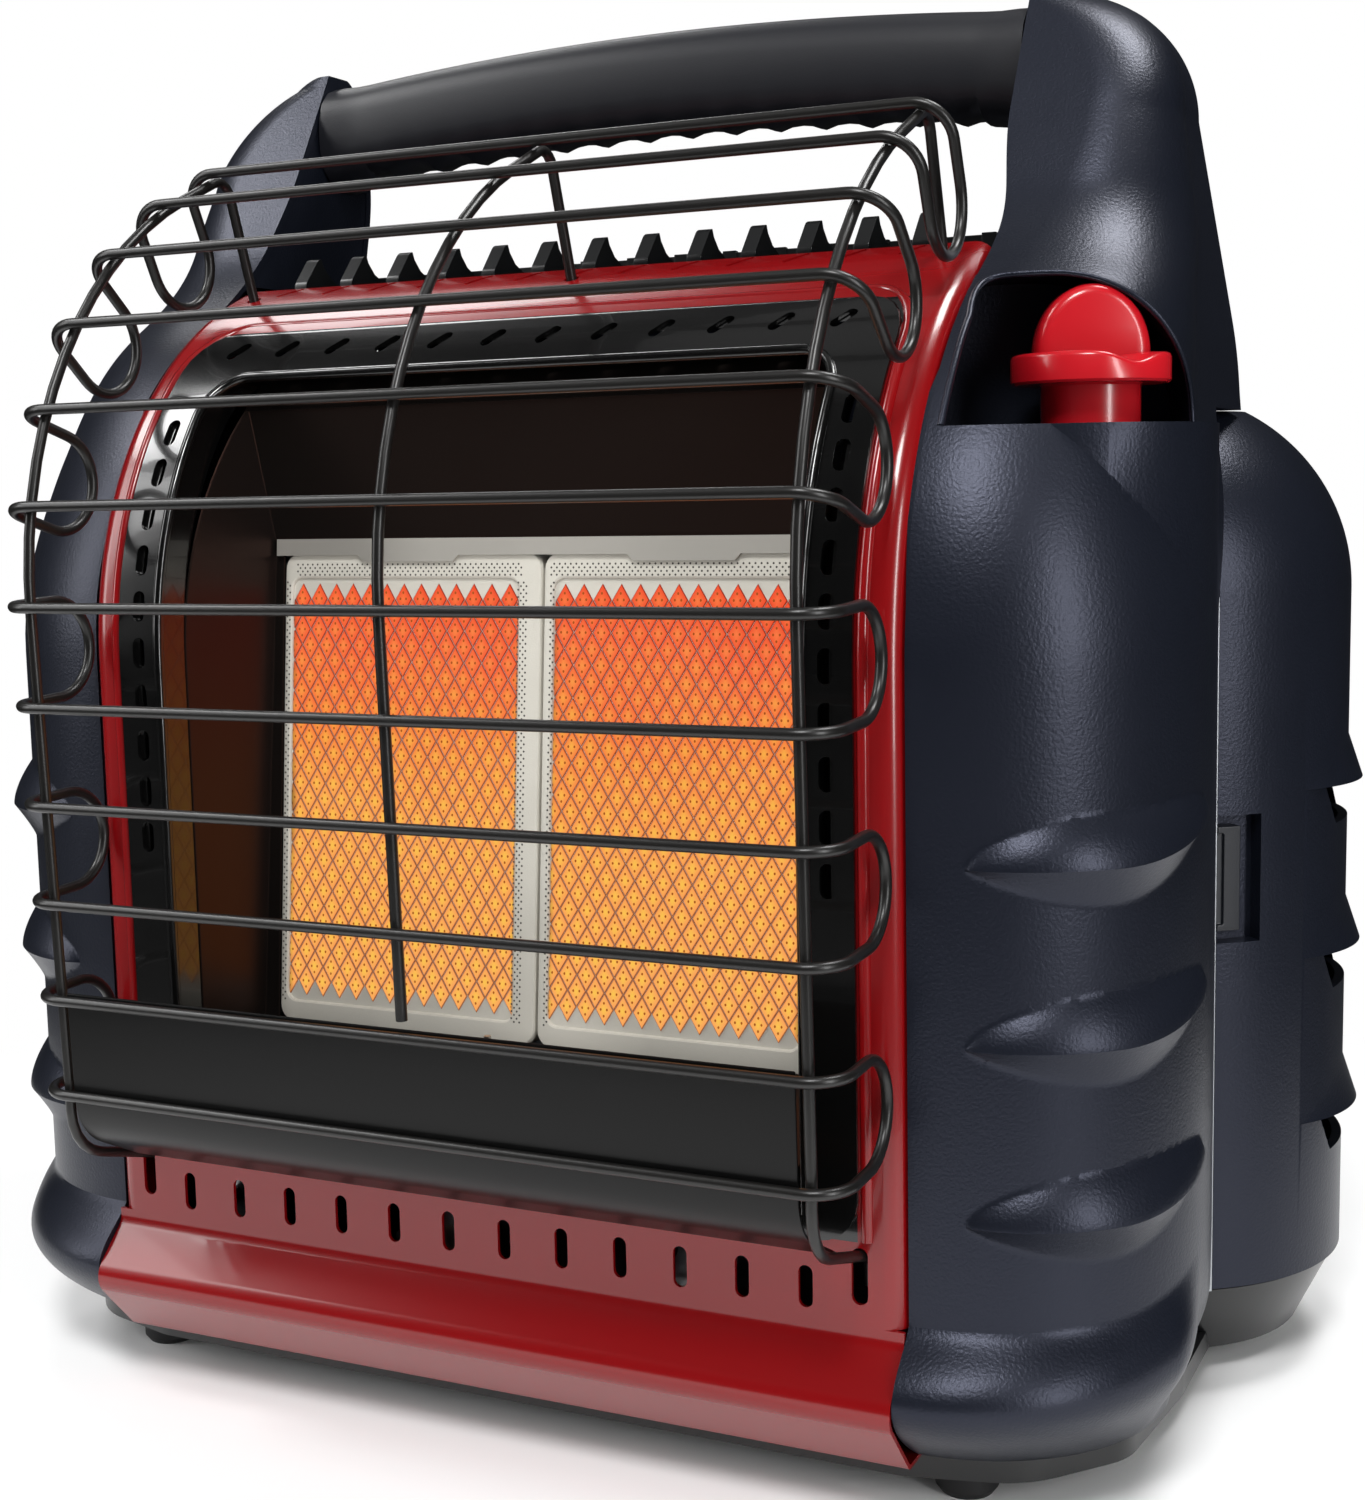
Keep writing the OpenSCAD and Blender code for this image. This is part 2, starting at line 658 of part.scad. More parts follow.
// How far a row of points is lifted at length s round the corner.
function row_lift(s, z) = rib_lift(s) * smooth(20, 34, z) * (1 - smooth(200, 240, z));
function bump(a, s, z) = toe_bump(a, z) + (z < 215 ? rib_bump(s, z) : 0);

// Plan of the side panel at height z, drawn in by g, with a lift for each point.
// With k = 1 it has the toe and the ribs; with k = 0 it is smooth. The end
// towards the middle is moved by e.
function plan(z, g, k, e = 0) =
    let (x0 = inner_x(z) + seam + e, back = plan_back(z, g))
    concat([[x0, front_y(z) + low_in(z) + g - k * toe_bump(-90, z), 0]],
        [for (i = [1 : arc_steps]) let (a = -90 + (90 + flank_a) * i / arc_steps,
            s = corner_r * (a + 90) * PI / 180, t = k * row_lift(s, z), c = plan_corner(z + t),
            q = c.z - g + k * bump(a, s, z))
            [c.x + q * cos(a), c.y + q * sin(a), t]],
        [for (i = [1 : flank_steps]) let (u = i / (flank_steps + 0.6),
            s = corner_r * (90 + flank_a) * PI / 180 + 36 * u, t = k * row_lift(s, z),
            c = plan_corner(z + t), q = k * bump(flank_a, s, z),
            p = mix([c.x, c.y] + (c.z - g) * [cos(flank_a), sin(flank_a)], plan_back(z + t, g), u))
            [p.x + q * cos(flank_a), p.y + q * sin(flank_a), t]],
        [[back.x, back.y, 0], [x0, back.y, 0]]);

shell_heights = concat([16.2, 20, 25, 30, 36, 42, 49, 57, 63], [for (i = [-3 : 20]) rib_z + 6 * i],
    [216, 232, 250, 262, 274, 286, 294.5, 306, 318, 330, 340, 346, 351.4, 355, 359, 366, 376, 390, 400, 408,
        415, 421, 424]);
lid_heights = [427, 428.8, 429.8];
inset_heights = [16.2, 34, 52, 80, 216, 248, 262, 274, 286, 300, 315, 330, 350, 355, 359, 366, 380, 396,
    408, 417, 423, 427];

function quad(a, b, c, d) = [[a, b, c], [a, c, d]];

// The moulded wall as one skin: open towards the middle and below, closed on top.
module panel_shell() {
    n = plan_n;
    m = len(shell_heights);
    l = len(lid_heights);
    top = m * 2 * n;
    pts = concat([for (z = shell_heights) each concat([for (p = plan(z, 0, 1)) [p.x, p.y, z + p.z]],
            [for (p = plan(z, wall, 0)) [p.x, p.y, z]])],
        [for (z = lid_heights) for (p = plan(z, 0, 0)) [p.x, p.y, z]]);
    // o: a point of the outer skin, i: of the inner skin, t: of the lid
    function o(j, k) = j * 2 * n + k;
    function i(j, k) = j * 2 * n + n + k;
    function t(j, k) = j < 0 ? o(m - 1, k) : top + j * n + k;
    polyhedron(points = pts, faces = concat(
        [for (j = [0 : m - 2], k = [0 : n - 2]) each quad(o(j, k), o(j + 1, k), o(j + 1, k + 1), o(j, k + 1))],
        [for (j = [0 : m - 2], k = [0 : n - 2]) each quad(i(j, k + 1), i(j + 1, k + 1), i(j + 1, k), i(j, k))],
        [for (j = [0 : m - 2]) each quad(i(j, 0), i(j + 1, 0), o(j + 1, 0), o(j, 0))],
        [for (j = [0 : m - 2]) each quad(o(j, n - 1), o(j + 1, n - 1), i(j + 1, n - 1), i(j, n - 1))],
        [for (k = [0 : n - 2]) each quad(o(0, k), o(0, k + 1), i(0, k + 1), i(0, k))],
        [for (k = [1 : n - 2]) [i(m - 1, 0), i(m - 1, k), i(m - 1, k + 1)]],
        [for (j = [-1 : l - 2], k = [0 : n - 2]) each quad(t(j, k), t(j + 1, k), t(j + 1, k + 1), t(j, k + 1))],
        [for (j = [0 : l - 2]) each quad(t(j, n - 1), t(j + 1, n - 1), t(j + 1, 0), t(j, 0))],
        [[o(m - 1, n - 1), t(0, n - 1), i(m - 1, n - 1)], [i(m - 1, n - 1), t(0, n - 1), t(0, 0)],
            [i(m - 1, n - 1), t(0, 0), i(m - 1, 0)], [i(m - 1, 0), t(0, 0), o(m - 1, 0)]],
        [[for (k = [n - 1 : -1 : 0]) t(l - 1, k)]]));
}

// A solid whose skin runs inside the panel's wall, to trim what joins that wall.
module panel_core() {
    skin([for (z = inset_heights) plan(z, wall / 2, 0, 0.4)], inset_heights);
}

// Skin a stack of plans, all with the same number of points.
module skin(rings, heights) {
    n = len(rings[0]);
    m = len(rings);
    pts = [for (j = [0 : m - 1]) for (p = rings[j]) [p.x, p.y, heights[j]]];
    polyhedron(points = pts, faces = concat(
        [[for (i = [0 : n - 1]) i]],
        [for (j = [0 : m - 2], i = [0 : n - 1])
            each quad(j * n + i, (j + 1) * n + i, (j + 1) * n + (i + 1) % n, j * n + (i + 1) % n)],
        [[for (i = [n - 1 : -1 : 0]) (m - 1) * n + i]]));
}

// The bay's round form: outer radius r, top height z1, from height z0.
module bay_form(r, z0, z1, e) {
    translate([bay_x, bay_y, 0]) rotate_extrude($fn = 96) {
        translate([0, z0]) square([r, z1 - e - z0]);
        translate([0, z1 - e - eps]) square([r - e, e + eps]);
        intersection() {
            translate([r - e, z1 - e]) circle(r = e, $fn = 96);
            translate([r - e, z1 - e - eps]) square([e, e + eps]);
        }
    }
}

// Arched recess for the knob, drawn in the knob's frame and turned to the corner.
recess_half_w = 36;
recess_h = 44;
recess_off = -4.5;
module recess(g) {
    translate([knob_x, knob_y, 0]) rotate([0, 0, view_turn]) along_y(-75, 27 + g)
        polygon(concat([for (i = [0 : 18]) let (a = i * 10)
            [recess_off + (recess_half_w + g) * cos(a), ledge_z + (recess_h + g) * sin(a)]],
            [[recess_off - recess_half_w - g, ledge_z - g],
                [recess_off + recess_half_w + g, ledge_z - g]]));
}

valve_bulge_r = 42;
valve_bulge = [156, 68];

module side_panel(knob_side) {
    difference() {
        union() {
            difference() {
                panel_shell();
                // the back is open below the level of the doors' tops
                translate([110, 100, -1]) cube([72, 70, over_door_z + 1.3]);
            }
            intersection() {
                panel_core();
                union() {
                    // wall along the door's seam and floor over the door
                    intersection() {
                        bay_half(true, -wall - seam);
                        translate([110, 60, -1]) cube([120, 120, over_door_z + wall + 1]);
                    }
                    // inner wall of the pillar
                    translate([110, 50, 352]) cube([pillar_half_w + wall + 0.8 - 110, 150, 70]);
                    if (knob_side) recess(wall);
                }
            }
            if (knob_side) intersection() {
                translate([valve_bulge.x, valve_bulge.y, 0]) difference() {
                    translate([0, 0, 252]) cylinder(h = ledge_z - 252, r = valve_bulge_r);
                    translate([0, 0, 250]) cylinder(h = ledge_z - wall - 250.4, r = valve_bulge_r - wall);
                }
                // clear of the supply tube
                translate([140, 0, 251]) cube([80, tube_y - 7, 60]);
            }
        }
        if (knob_side) {
            recess(0);
            translate([knob_x, knob_y, ledge_z - 20]) cylinder(h = 30, r = stem_r + 1);
        }
        bay_form(door_r + run, -5, door_top_z + run, door_edge_r + run);
        intersection() {
            bay_half(true, -seam);
            cube([600, 600, 2 * over_door_z], center = true);
        }
        // finger notch beside the latch
        at_latch() translate([door_r - 6.5, -latch_w / 2 - 6, latch_z0 + 1])
            cube([20, 7, latch_z1 - latch_z0 - 2]);
        // seat for the end of the handle bar
        translate([pillar_half_w - 5, grip_y, bar_z]) rotate([0, 90, 0]) cylinder(h = 12, r = bar_r + fit);
    }
}

module side_panel_right() {
    color("#1c202a") placed() side_panel(true);
}
module side_panel_left() {
    color("#1c202a") placed() mirror([1, 0, 0]) side_panel(false);
}

// ---- cylinder bays, doors and latches
seam_a = -58;
hinge_off = 3.6;
hinge_rad = door_r + hinge_off;
knuckle_r = hinge_pin_r + 1.3;
knuckle_l = 20;
hinge_levels = [64, 226];

// Half of the bay on the door's side of the seam plane, or the other half.
module bay_half(door_side, gap) {
    translate([bay_x, bay_y, 0]) rotate([0, 0, seam_a + (door_side ? 0 : 180)])
        translate([-100, gap, -10]) cube([200, 100, 400]);
}

module at_hinge() {
    translate([bay_x, bay_y, 0]) rotate([0, 0, seam_a + 180]) translate([hinge_rad, 0, 0]) children();
}

// Hinge knuckle with a leaf that reaches the shell on one side of the seam.
module knuckle(z, side) {
    difference() {
        union() {
            at_hinge() translate([0, 0, z]) cylinder(h = knuckle_l, r = knuckle_r);
            intersection() {
                at_hinge() translate([-hinge_off - 1.2, side > 0 ? -9 : seam, z])
                    cube([5.2, 9 - seam, knuckle_l]);
                translate([bay_x, bay_y, z]) cylinder(h = knuckle_l, r = door_r + 3.4);
            }
        }
        at_hinge() translate([0, 0, z - 1]) cylinder(h = knuckle_l + 2, r = hinge_pin_r + fit);
    }
}

// Hooded vent: the hood's section is a round that stands out in the middle.
hood_r = 50;
hood_out = 4.5;
hood_a = 8;
hood_h = 13.5;
mouth_h = 12.5;
hood_levels = [81.5, 134, 186.5];
module hood(z, g) {
    e = door_r - hood_r + hood_out;
    translate([bay_x, bay_y, z]) rotate([0, 0, hood_a]) translate([e, 0, 0])
        cylinder(h = hood_h, r1 = hood_r - g, r2 = hood_r - hood_out - g);
}
module hood_mouth(z) {
    e = door_r - hood_r + hood_out;
    translate([bay_x, bay_y, z - mouth_h]) rotate([0, 0, hood_a]) translate([e, 0, 0])
        cylinder(h = mouth_h + 0.5, r1 = hood_r - 3.2, r2 = hood_r - 2);
}

latch_z0 = 142;
latch_z1 = 181;
latch_w = 14.5;
latch_a = seam_a + 6.6;
// Frame at the latch: X outwards through the door, Y back along it.
module at_latch() {
    translate([bay_x, bay_y, 0]) rotate([0, 0, latch_a]) children();
}

module door() {
    difference() {
        union() {
            intersection() {
                difference() {
                    union() {
                        bay_form(door_r, door_bottom_z, door_top_z, door_edge_r);
                        for (z = hood_levels) hood(z, 0);
                    }
                    difference() {
                        bay_form(door_r - door_wall, 0, door_top_z - door_wall, door_edge_r - door_wall);
                        // thicker wall round the latch
                        at_latch() translate([door_r - 9, -20, latch_z0 - 3])
                            cube([20, 20 + latch_w / 2 + 2.5, latch_z1 - latch_z0 + 6]);
                    }
                    for (z = hood_levels) {
                        intersection() {
                            hood(z - eps, 2);
                            translate([bay_x, bay_y, 0]) cylinder(h = 400, r = door_r + 20);
                        }
                        hood_mouth(z);
                    }
                }
                bay_half(true, seam / 2);
            }
            for (z = hinge_levels) knuckle(z, 1);
        }
        // pocket in which the latch slides
        at_latch() translate([door_r - 6.5, -20, latch_z0])
            cube([20, 20 + latch_w / 2, latch_z1 - latch_z0]);
        for (z = hinge_levels) at_hinge() translate([0, 0, z + knuckle_l])
            translate([-6, -12, 0]) cube([14, 24, knuckle_l + 2 * run]);
    }
}

module door_right() {
    color("#1c202a") placed() door();
}
module door_left() {
    color("#1c202a") placed() mirror([1, 0, 0]) door();
}

module latch() {
    at_latch() translate([door_r - 6.2, -latch_w / 2 + 0.6, latch_z0 + 3.5]) difference() {
        cube([5.2, 7.6, latch_z1 - latch_z0 - 7]);
        // finger edge
        translate([4, -1, 2]) cube([3, 3, latch_z1 - latch_z0 - 11]);
    }
}

module door_latch_right() {
    color("#242936") placed() latch();
}
module door_latch_left() {
    color("#242936") placed() mirror([1, 0, 0]) latch();
}

module hinge_pins() {
    color("#b8bcc2") placed() both_sides() for (z = hinge_levels)
        at_hinge() translate([0, 0, z - 1]) cylinder(h = 2 * knuckle_l + 2 * run + 2, r = hinge_pin_r);
}

// Inner half of the bay, which carries the fixed knuckles.
module bay_liner() {
    difference() {
        union() {
            intersection() {
                difference() {
                    bay_form(door_r + run - seam, deck_z, door_top_z - 0.6, door_edge_r);
                    bay_form(door_r - 2, 0, door_top_z - 2.6, door_edge_r - 2);
                }
                bay_half(false, seam / 2);
            }
            for (z = hinge_levels) knuckle(z + knuckle_l + run, -1);
        }
        for (z = hinge_levels) at_hinge() translate([-4.5, -12, z - run])
            cube([12, 24, knuckle_l + run + 0.2]);
        // way in for the supply tube
        translate([bay_x, bay_y, pivot_z]) rotate([90, 0, 0]) cylinder(h = 80, r = tube_r + 0.6);
        // air slots
        for (i = [0 : 4], a = [165, 195])
            translate([bay_x, bay_y, 60 + i * 36]) rotate([0, 0, a]) translate([door_r - 5, -2, 0])
                cube([10, 4, 22]);
    }
}

module bay_liner_right() {
    color("#9b9fa4") placed() bay_liner();
}
module bay_liner_left() {
    color("#9b9fa4") placed() mirror([1, 0, 0]) bay_liner();
}

// ---- regulators
pivot_z = 276;
pivot_r = 4;
ear_gap = 16;
module regulator() {
    translate([bay_x, bay_y, 0]) difference() {
        union() {
            translate([0, 0, pivot_z]) rotate([90, 0, 0]) cylinder(h = ear_gap - 2 * run, r = 9, center = true);
            translate([-7, -ear_gap / 2 + run, pivot_z - 18]) cube([14, ear_gap - 2 * run, 18]);
            translate([0, 0, pivot_z - 21]) cylinder(h = 5, r1 = 22, r2 = 12);
            translate([0, 0, pivot_z - 27]) cylinder(h = 6, r = 24);
            translate([0, 0, pivot_z - 36]) cylinder(h = 9, r1 = 15, r2 = 22);
            translate([0, 0, pivot_z - 46]) cylinder(h = 10, r = 15, $fn = 6);
            translate([0, 0, pivot_z - 56]) cylinder(h = 10, r = 13);
        }
        translate([0, 0, pivot_z]) rotate([90, 0, 0]) cylinder(h = 60, r = pivot_r + fit, center = true);
        translate([0, 0, pivot_z - 57]) cylinder(h = 16, r = 10);
    }
}

module regulator_right() {
    color("#a7abb0") placed() regulator();
}
module regulator_left() {
    color("#a7abb0") placed() mirror([1, 0, 0]) regulator();
}

// Fork and pin that carry a regulator from the bay's roof.
module swivel_mount() {
    t = 3.5;
    roof = door_top_z - 2.6 - 0.1;
    translate([bay_x, bay_y, 0]) {
        intersection() {
            translate([-24, -17, roof - 3]) cube([24, 34, 3]);
            rotate([0, 0, seam_a + 180]) translate([-60, 1, 0]) cube([120, 60, 400]);
        }
        for (side = [-1, 1]) difference() {
            union() {
                translate([-9, side * (ear_gap + t) / 2 - t / 2, pivot_z]) cube([9 + 4, t, roof - 1 - pivot_z]);
                translate([0, side * (ear_gap + t) / 2, pivot_z]) rotate([90, 0, 0])
                    cylinder(h = t, r = 9, center = true);
            }
        }
        translate([0, 0, pivot_z]) rotate([90, 0, 0])
            cylinder(h = ear_gap + 2 * t + 4, r = pivot_r, center = true);
    }
}

module swivel_mounts() {
    color("#7d8187") placed() both_sides() swivel_mount();
}

// Tube from the two swivels to the valve.
tube_r = 3.2;
tube_y = 94;
valve_inlet_z = valve_bottom_z + 22;
tube_z = pivot_z;
module supply_tube() {
    tap_x = knob_x - valve_r - 24;
    tube_end = bay_y - ear_gap / 2 - 3.5 - 2 - seam;
    color("#b87333") placed() {
        pipe([[-bay_x, tube_end, tube_z], [-bay_x, tube_y, tube_z], [bay_x, tube_y, tube_z],
            [bay_x, tube_end, tube_z]], [12, 12], tube_r);
        translate([tap_x - 7, tube_y, tube_z]) rotate([0, 90, 0]) cylinder(h = 14, r = tube_r + 2);
        pipe([[tap_x, tube_y, tube_z], [tap_x, tube_y, valve_inlet_z], [tap_x, knob_y, valve_inlet_z],
            [knob_x - valve_r - 5 - seam, knob_y, valve_inlet_z]], [8, 8], tube_r);
    }
}

// ---- pilot
pilot_y = 20;
pilot_z = 103;
module pilot_burner() {
    color("#b9bcc0") placed() {
        translate([0, pilot_y, pilot_z]) cylinder(h = 9, r = 4);
        translate([0, pilot_y, 84]) cylinder(h = pilot_z - 84, r = 2.6);
        along_y(pilot_y - 6.4, pilot_y - 5) polygon([[-16, 98.6], [22, 98.6], [22, 108], [-16, 108]]);
        translate([-2, pilot_y - 6, 103]) cube([4, 6, 5]);
    }
}

module pilot_tube() {
    color("#b87333") placed() pipe([[0, pilot_y, 84 - seam], [0, pilot_y, 70], [knob_x + 8, pilot_y, 70],
        [knob_x + 8, pilot_y, valve_bottom_z - 12], [knob_x + 8, knob_y + 6, valve_bottom_z - 12],
        [knob_x + 8, knob_y + 6, valve_bottom_z - seam]], [7, 7, 7, 7], 1.6);
}

module spark_electrode() {
    color("#eae6dc") placed() translate([14, pilot_y, 0]) {
        translate([0, 0, 96]) cylinder(h = 16, r = 2);
        translate([0, 0, 112]) cylinder(h = 5, r = 0.8);
        translate([0, -3.3, 104]) cube([2, 2.8, 3], center = true);
    }
}

module thermocouple() {
    color("#c0c4c8") placed() translate([-9, pilot_y, 0]) {
        translate([0, 0, 92]) cylinder(h = 18, r = 1.5);
        translate([0, 0, 110]) cylinder(h = 8, r = 1.1);
        translate([0, -3, 105]) cube([2, 3.4, 3], center = true);
    }
}

// ---- base
pan_out = rounded_path([[0, 8], [128, 8], [160, 16], [182, 42], [187, 90], [187, 182], [160, 214],
    [0, 214]], [20, 30, 20, 20, 20, 20], 5);
module base_pan() {
    color("#15171a") placed() difference() {
        union() {
            both_sides() {
                translate([0, 0, base_bottom_z]) linear_extrude(height = pan_t) polygon(pan_out);
                translate([0, 0, base_bottom_z]) linear_extrude(height = 6.6)
                    bent(pan_out, pan_t);
                // stand under the bay
                translate([bay_x, bay_y, base_bottom_z]) difference() {
                    cylinder(h = bay_floor_z - base_bottom_z, r1 = 50, r2 = door_r - 1.5);
                    translate([0, 0, -1]) cylinder(h = bay_floor_z - base_bottom_z - 1.5,
                        r1 = 47, r2 = door_r - 4.5);
                }
            }
        }
        for (i = [-3 : 3]) translate([i * 24 - 6, 150, 0]) cube([12, 40, 40]);
    }
}

foot_at = [[140, 26], [150, 196]];
module feet() {
    color("#17181a") placed() both_sides() for (p = foot_at) translate([p.x, p.y, 0]) {
        cylinder(h = 2, r1 = 7.5, r2 = 9);
        translate([0, 0, 2]) cylinder(h = base_bottom_z - 2, r = 9);
    }
}

// ---- heat shield
shield_y = 100;
module heat_shield() {
    color("#a8acb0") placed() difference() {
        along_x(-88, 88) bent(rounded_path([[shield_y + 12, base_bottom_z + pan_t],
            [shield_y, base_bottom_z + pan_t], [shield_y, tube_z - 12]], [3], 4), -1);
        for (x = [-60 : 30 : 60]) translate([x - 9, 0, 30]) cube([18, 150, 40]);
    }
}

// ---- back
back_t = 2.5;
back_top_z = 302;
fan_z = 200;
battery_half_w = cell_l + 3.5;
battery_z0 = 22;
battery_z1 = battery_z0 + 2 * cell_d + 8;
switch_at = [86, 60];
back_half_w = 124;
screw_at = [[96, 130], [96, 290], [106, 28]];

module back_panel() {
    color("#1c1e22") placed() difference() {
        translate([-back_half_w, rear_wall_y - back_t, base_bottom_z + pan_t + seam])
            cube([2 * back_half_w, back_t, back_top_z - base_bottom_z - pan_t - seam]);
        both_sides() {
            bay_form(door_r + run, -5, door_top_z + run, door_edge_r + run);
            at_hinge() translate([-6, -11, -5]) cube([14, 22, 400]);
        }
        // fan opening
        translate([0, rear_wall_y + 5, fan_z]) rotate([90, 0, 0]) cylinder(h = 20, r = fan_r + 2);
        // battery box, switch and socket
        translate([-battery_half_w - seam, 0, battery_z0 - seam])
            cube([2 * (battery_half_w + seam), 400, battery_z1 - battery_z0 + 2 * seam]);
        translate([switch_at.x, 300, switch_at.y]) rotate([90, 0, 0])
            linear_extrude(height = 200) polygon(rounded_rect(-7.2, -11.2, 7.2, 11.2, 1));
        translate([-switch_at.x, 300, switch_at.y]) rotate([90, 0, 0]) cylinder(h = 200, r = 6 + fit);
        both_sides() for (p = screw_at) translate([p.x, 300, p.y]) rotate([90, 0, 0])
            cylinder(h = 200, r = 2.2);
        for (x = [-70 : 20 : 70]) translate([x - 6, 0, 262]) cube([12, 400, 5]);
        for (x = [-70 : 20 : 70]) translate([x - 6, 0, 274]) cube([12, 400, 5]);
    }
}

cover_top = 350;
module rear_cover() {
    function ring(g) = concat([[pillar_back_y + seam + g, back_top_z + 1 + (g > 0 ? -1 : 0)],
        [rear_wall_y - g, back_top_z + 1 + (g > 0 ? -1 : 0)]],
        arc([rear_wall_y - 22, cover_top - 22], 22 - g, 0, 90, 8),
        [[pillar_back_y + seam + g, cover_top - g]]);
    color("#1c202a") placed() difference() {
        along_x(-pillar_half_w, pillar_half_w) polygon(ring(0));
        along_x(-pillar_half_w + wall, pillar_half_w - wall) polygon(ring(wall));
        for (x = [-90 : 18 : 90]) translate([x - 6, rear_wall_y - 30, 318]) cube([12, 60, 6]);
    }
}

// ---- fan
module fan_guard() {
    color("#26282c") placed() translate([0, rear_wall_y + 0.05, fan_z]) rotate([-90, 0, 0]) {
        difference() {
            cylinder(h = 3, r = fan_r + 7);
            translate([0, 0, -1]) cylinder(h = 5, r = fan_r + 1);
        }
        for (r = [12, 22, 32]) difference() {
            cylinder(h = 2.4, r = r + 1.6);
            translate([0, 0, -1]) cylinder(h = 5, r = r);
        }
        for (a = [0 : 60 : 300]) rotate([0, 0, a]) translate([0, -1.5, 0.6]) cube([fan_r + 3, 3, 2]);
        cylinder(h = 2.4, r = 6);
        // posts that carry the motor
        for (a = [45, 165, 285]) rotate([0, 0, a]) translate([12.8, 0, -2]) cylinder(h = 3, r = 1.6);
    }
}

motor_l = 20;
module fan_motor() {
    color("#8b8f94") placed() translate([0, rear_wall_y - 2.2, fan_z]) rotate([90, 0, 0]) {
        cylinder(h = motor_l, r = 15);
        cylinder(h = motor_l + 3, r = 4);
        translate([0, 0, motor_l]) cylinder(h = 14, r = 1.5);
    }
}

module fan_rotor() {
    color("#2c2f34") placed() translate([0, rear_wall_y - 2.2 - motor_l - 3.5, fan_z])
        rotate([90, 0, 0]) difference() {
            union() {
                cylinder(h = 9, r = 10);
                for (i = [0 : fan_blades - 1]) rotate([0, 0, i * 360 / fan_blades])
                    intersection() {
                        translate([5, 0, 4.5]) rotate([35, 0, 0])
                            translate([0, -6.4, -0.8]) cube([60, 12.8, 1.6]);
                        cylinder(h = 9, r = fan_r);
                    }
            }
            translate([0, 0, -1]) cylinder(h = 12, r = 1.5 + fit);
        }
}

// ---- batteries
battery_y0 = battery_door_y - cell_d - 8;
lid_pivot = [battery_door_y - 1.6, battery_z0 + 1.6];
lid_pin_r = 0.8;
knuckle_x = battery_half_w - 12;
module battery_box() {
    color("#23262b") placed() {
        difference() {
            union() {
                difference() {
                    translate([-battery_half_w, battery_y0, battery_z0])
                        cube([2 * battery_half_w, battery_door_y - 2.8 - battery_y0, battery_z1 - battery_z0]);
                    // room for the lid's barrel
                    translate([-200, lid_pivot.x, lid_pivot.y]) rotate([0, 90, 0])
                        cylinder(h = 400, r = 1.6 + run);
                }
                for (side = [-1, 1]) translate([side * (knuckle_x + 5), 0, 0])
                    along_x(-4.6, 4.6) polygon([[battery_door_y - 5, battery_z0 + 0.4],
                        [battery_door_y - 0.4, battery_z0 + 0.4], [battery_door_y - 0.4, battery_z0 + 2.8],
                        [battery_door_y - 5, battery_z0 + 2.8]]);
            }
            translate([-battery_half_w + 2, battery_y0 + 2, battery_z0 + 3])
                cube([2 * battery_half_w - 4, 100, battery_z1 - battery_z0 - 5]);
            translate([-200, lid_pivot.x, lid_pivot.y]) rotate([0, 90, 0])
                cylinder(h = 400, r = lid_pin_r + fit);
        }
        // shelf between the two rows of cells
        translate([-battery_half_w + 1, battery_y0 + 1, (battery_z0 + battery_z1) / 2 - 0.6])
            cube([2 * battery_half_w - 2, 18, 1.2]);
        // rib under the box, which stands on the base pan
        translate([-battery_half_w + 10, battery_y0 + 4, base_bottom_z + pan_t + seam])
            cube([2 * battery_half_w - 20, 5, battery_z0 - base_bottom_z - pan_t]);
    }
}

module battery_door() {
    color("#1c1e22") placed() {
        difference() {
            along_y(battery_door_y - 2.3, battery_door_y) difference() {
                polygon(rounded_rect(-battery_half_w, battery_z0 + 1.6, battery_half_w, battery_z1, 3));
                for (side = [-1, 1]) translate([side * (knuckle_x + 7.2) - 7.4, battery_z0 - 1]) square([14.8, 4.6]);
            }
            for (i = [0 : 4]) translate([-24, battery_door_y - 0.8, battery_z1 - 22 + i * 3.4])
                cube([48, 2, 1.4]);
        }
        translate([0, lid_pivot.x, lid_pivot.y]) rotate([0, 90, 0]) {
            cylinder(h = 2 * knuckle_x, r = 1.6, center = true);
            cylinder(h = 2 * knuckle_x + 15, r = lid_pin_r, center = true);
        }
        // catch
        translate([-8, battery_door_y - 9, battery_z1 - 5.6]) cube([16, 8, 1.6]);
    }
}

module battery_contacts() {
    z0 = battery_z0 + 3;
    zm = (battery_z0 + battery_z1) / 2;
    color("#cfd2d6") placed() both_sides() for (z = [z0 + 3, zm + 4])
        translate([battery_half_w - 2.8, battery_y0 + 4, z]) cube([0.6, 26, 26]);
}

// ---- switch and socket
module fan_switch_body() {
    translate([switch_at.x, rear_wall_y, switch_at.y]) {
        difference() {
            union() {
                translate([-9, 0.05, -13]) cube([18, 2, 26]);
                translate([-7, -16, -11]) cube([14, 17, 22]);
            }
            translate([-5, -8, -8.6]) cube([10, 30, 17.2]);
        }
        rotate([0, 90, 0]) cylinder(h = 12, r = 1.2, center = true);
    }
}
module switch_frame() {
    color("#101113") placed() fan_switch_body();
}

module switch_rocker() {
    color("#2e3136") placed() translate([switch_at.x, rear_wall_y, switch_at.y]) rotate([9, 0, 0])
        difference() {
            along_x(-4.5, 4.5) polygon([[-4, -4], [-4, 4], [1.2, 7.6], [3.8, 7.6], [2.4, 0],
                [3.8, -7.6], [1.2, -7.6]]);
            rotate([0, 90, 0]) cylinder(h = 20, r = 1.2 + fit, center = true);
        }
}

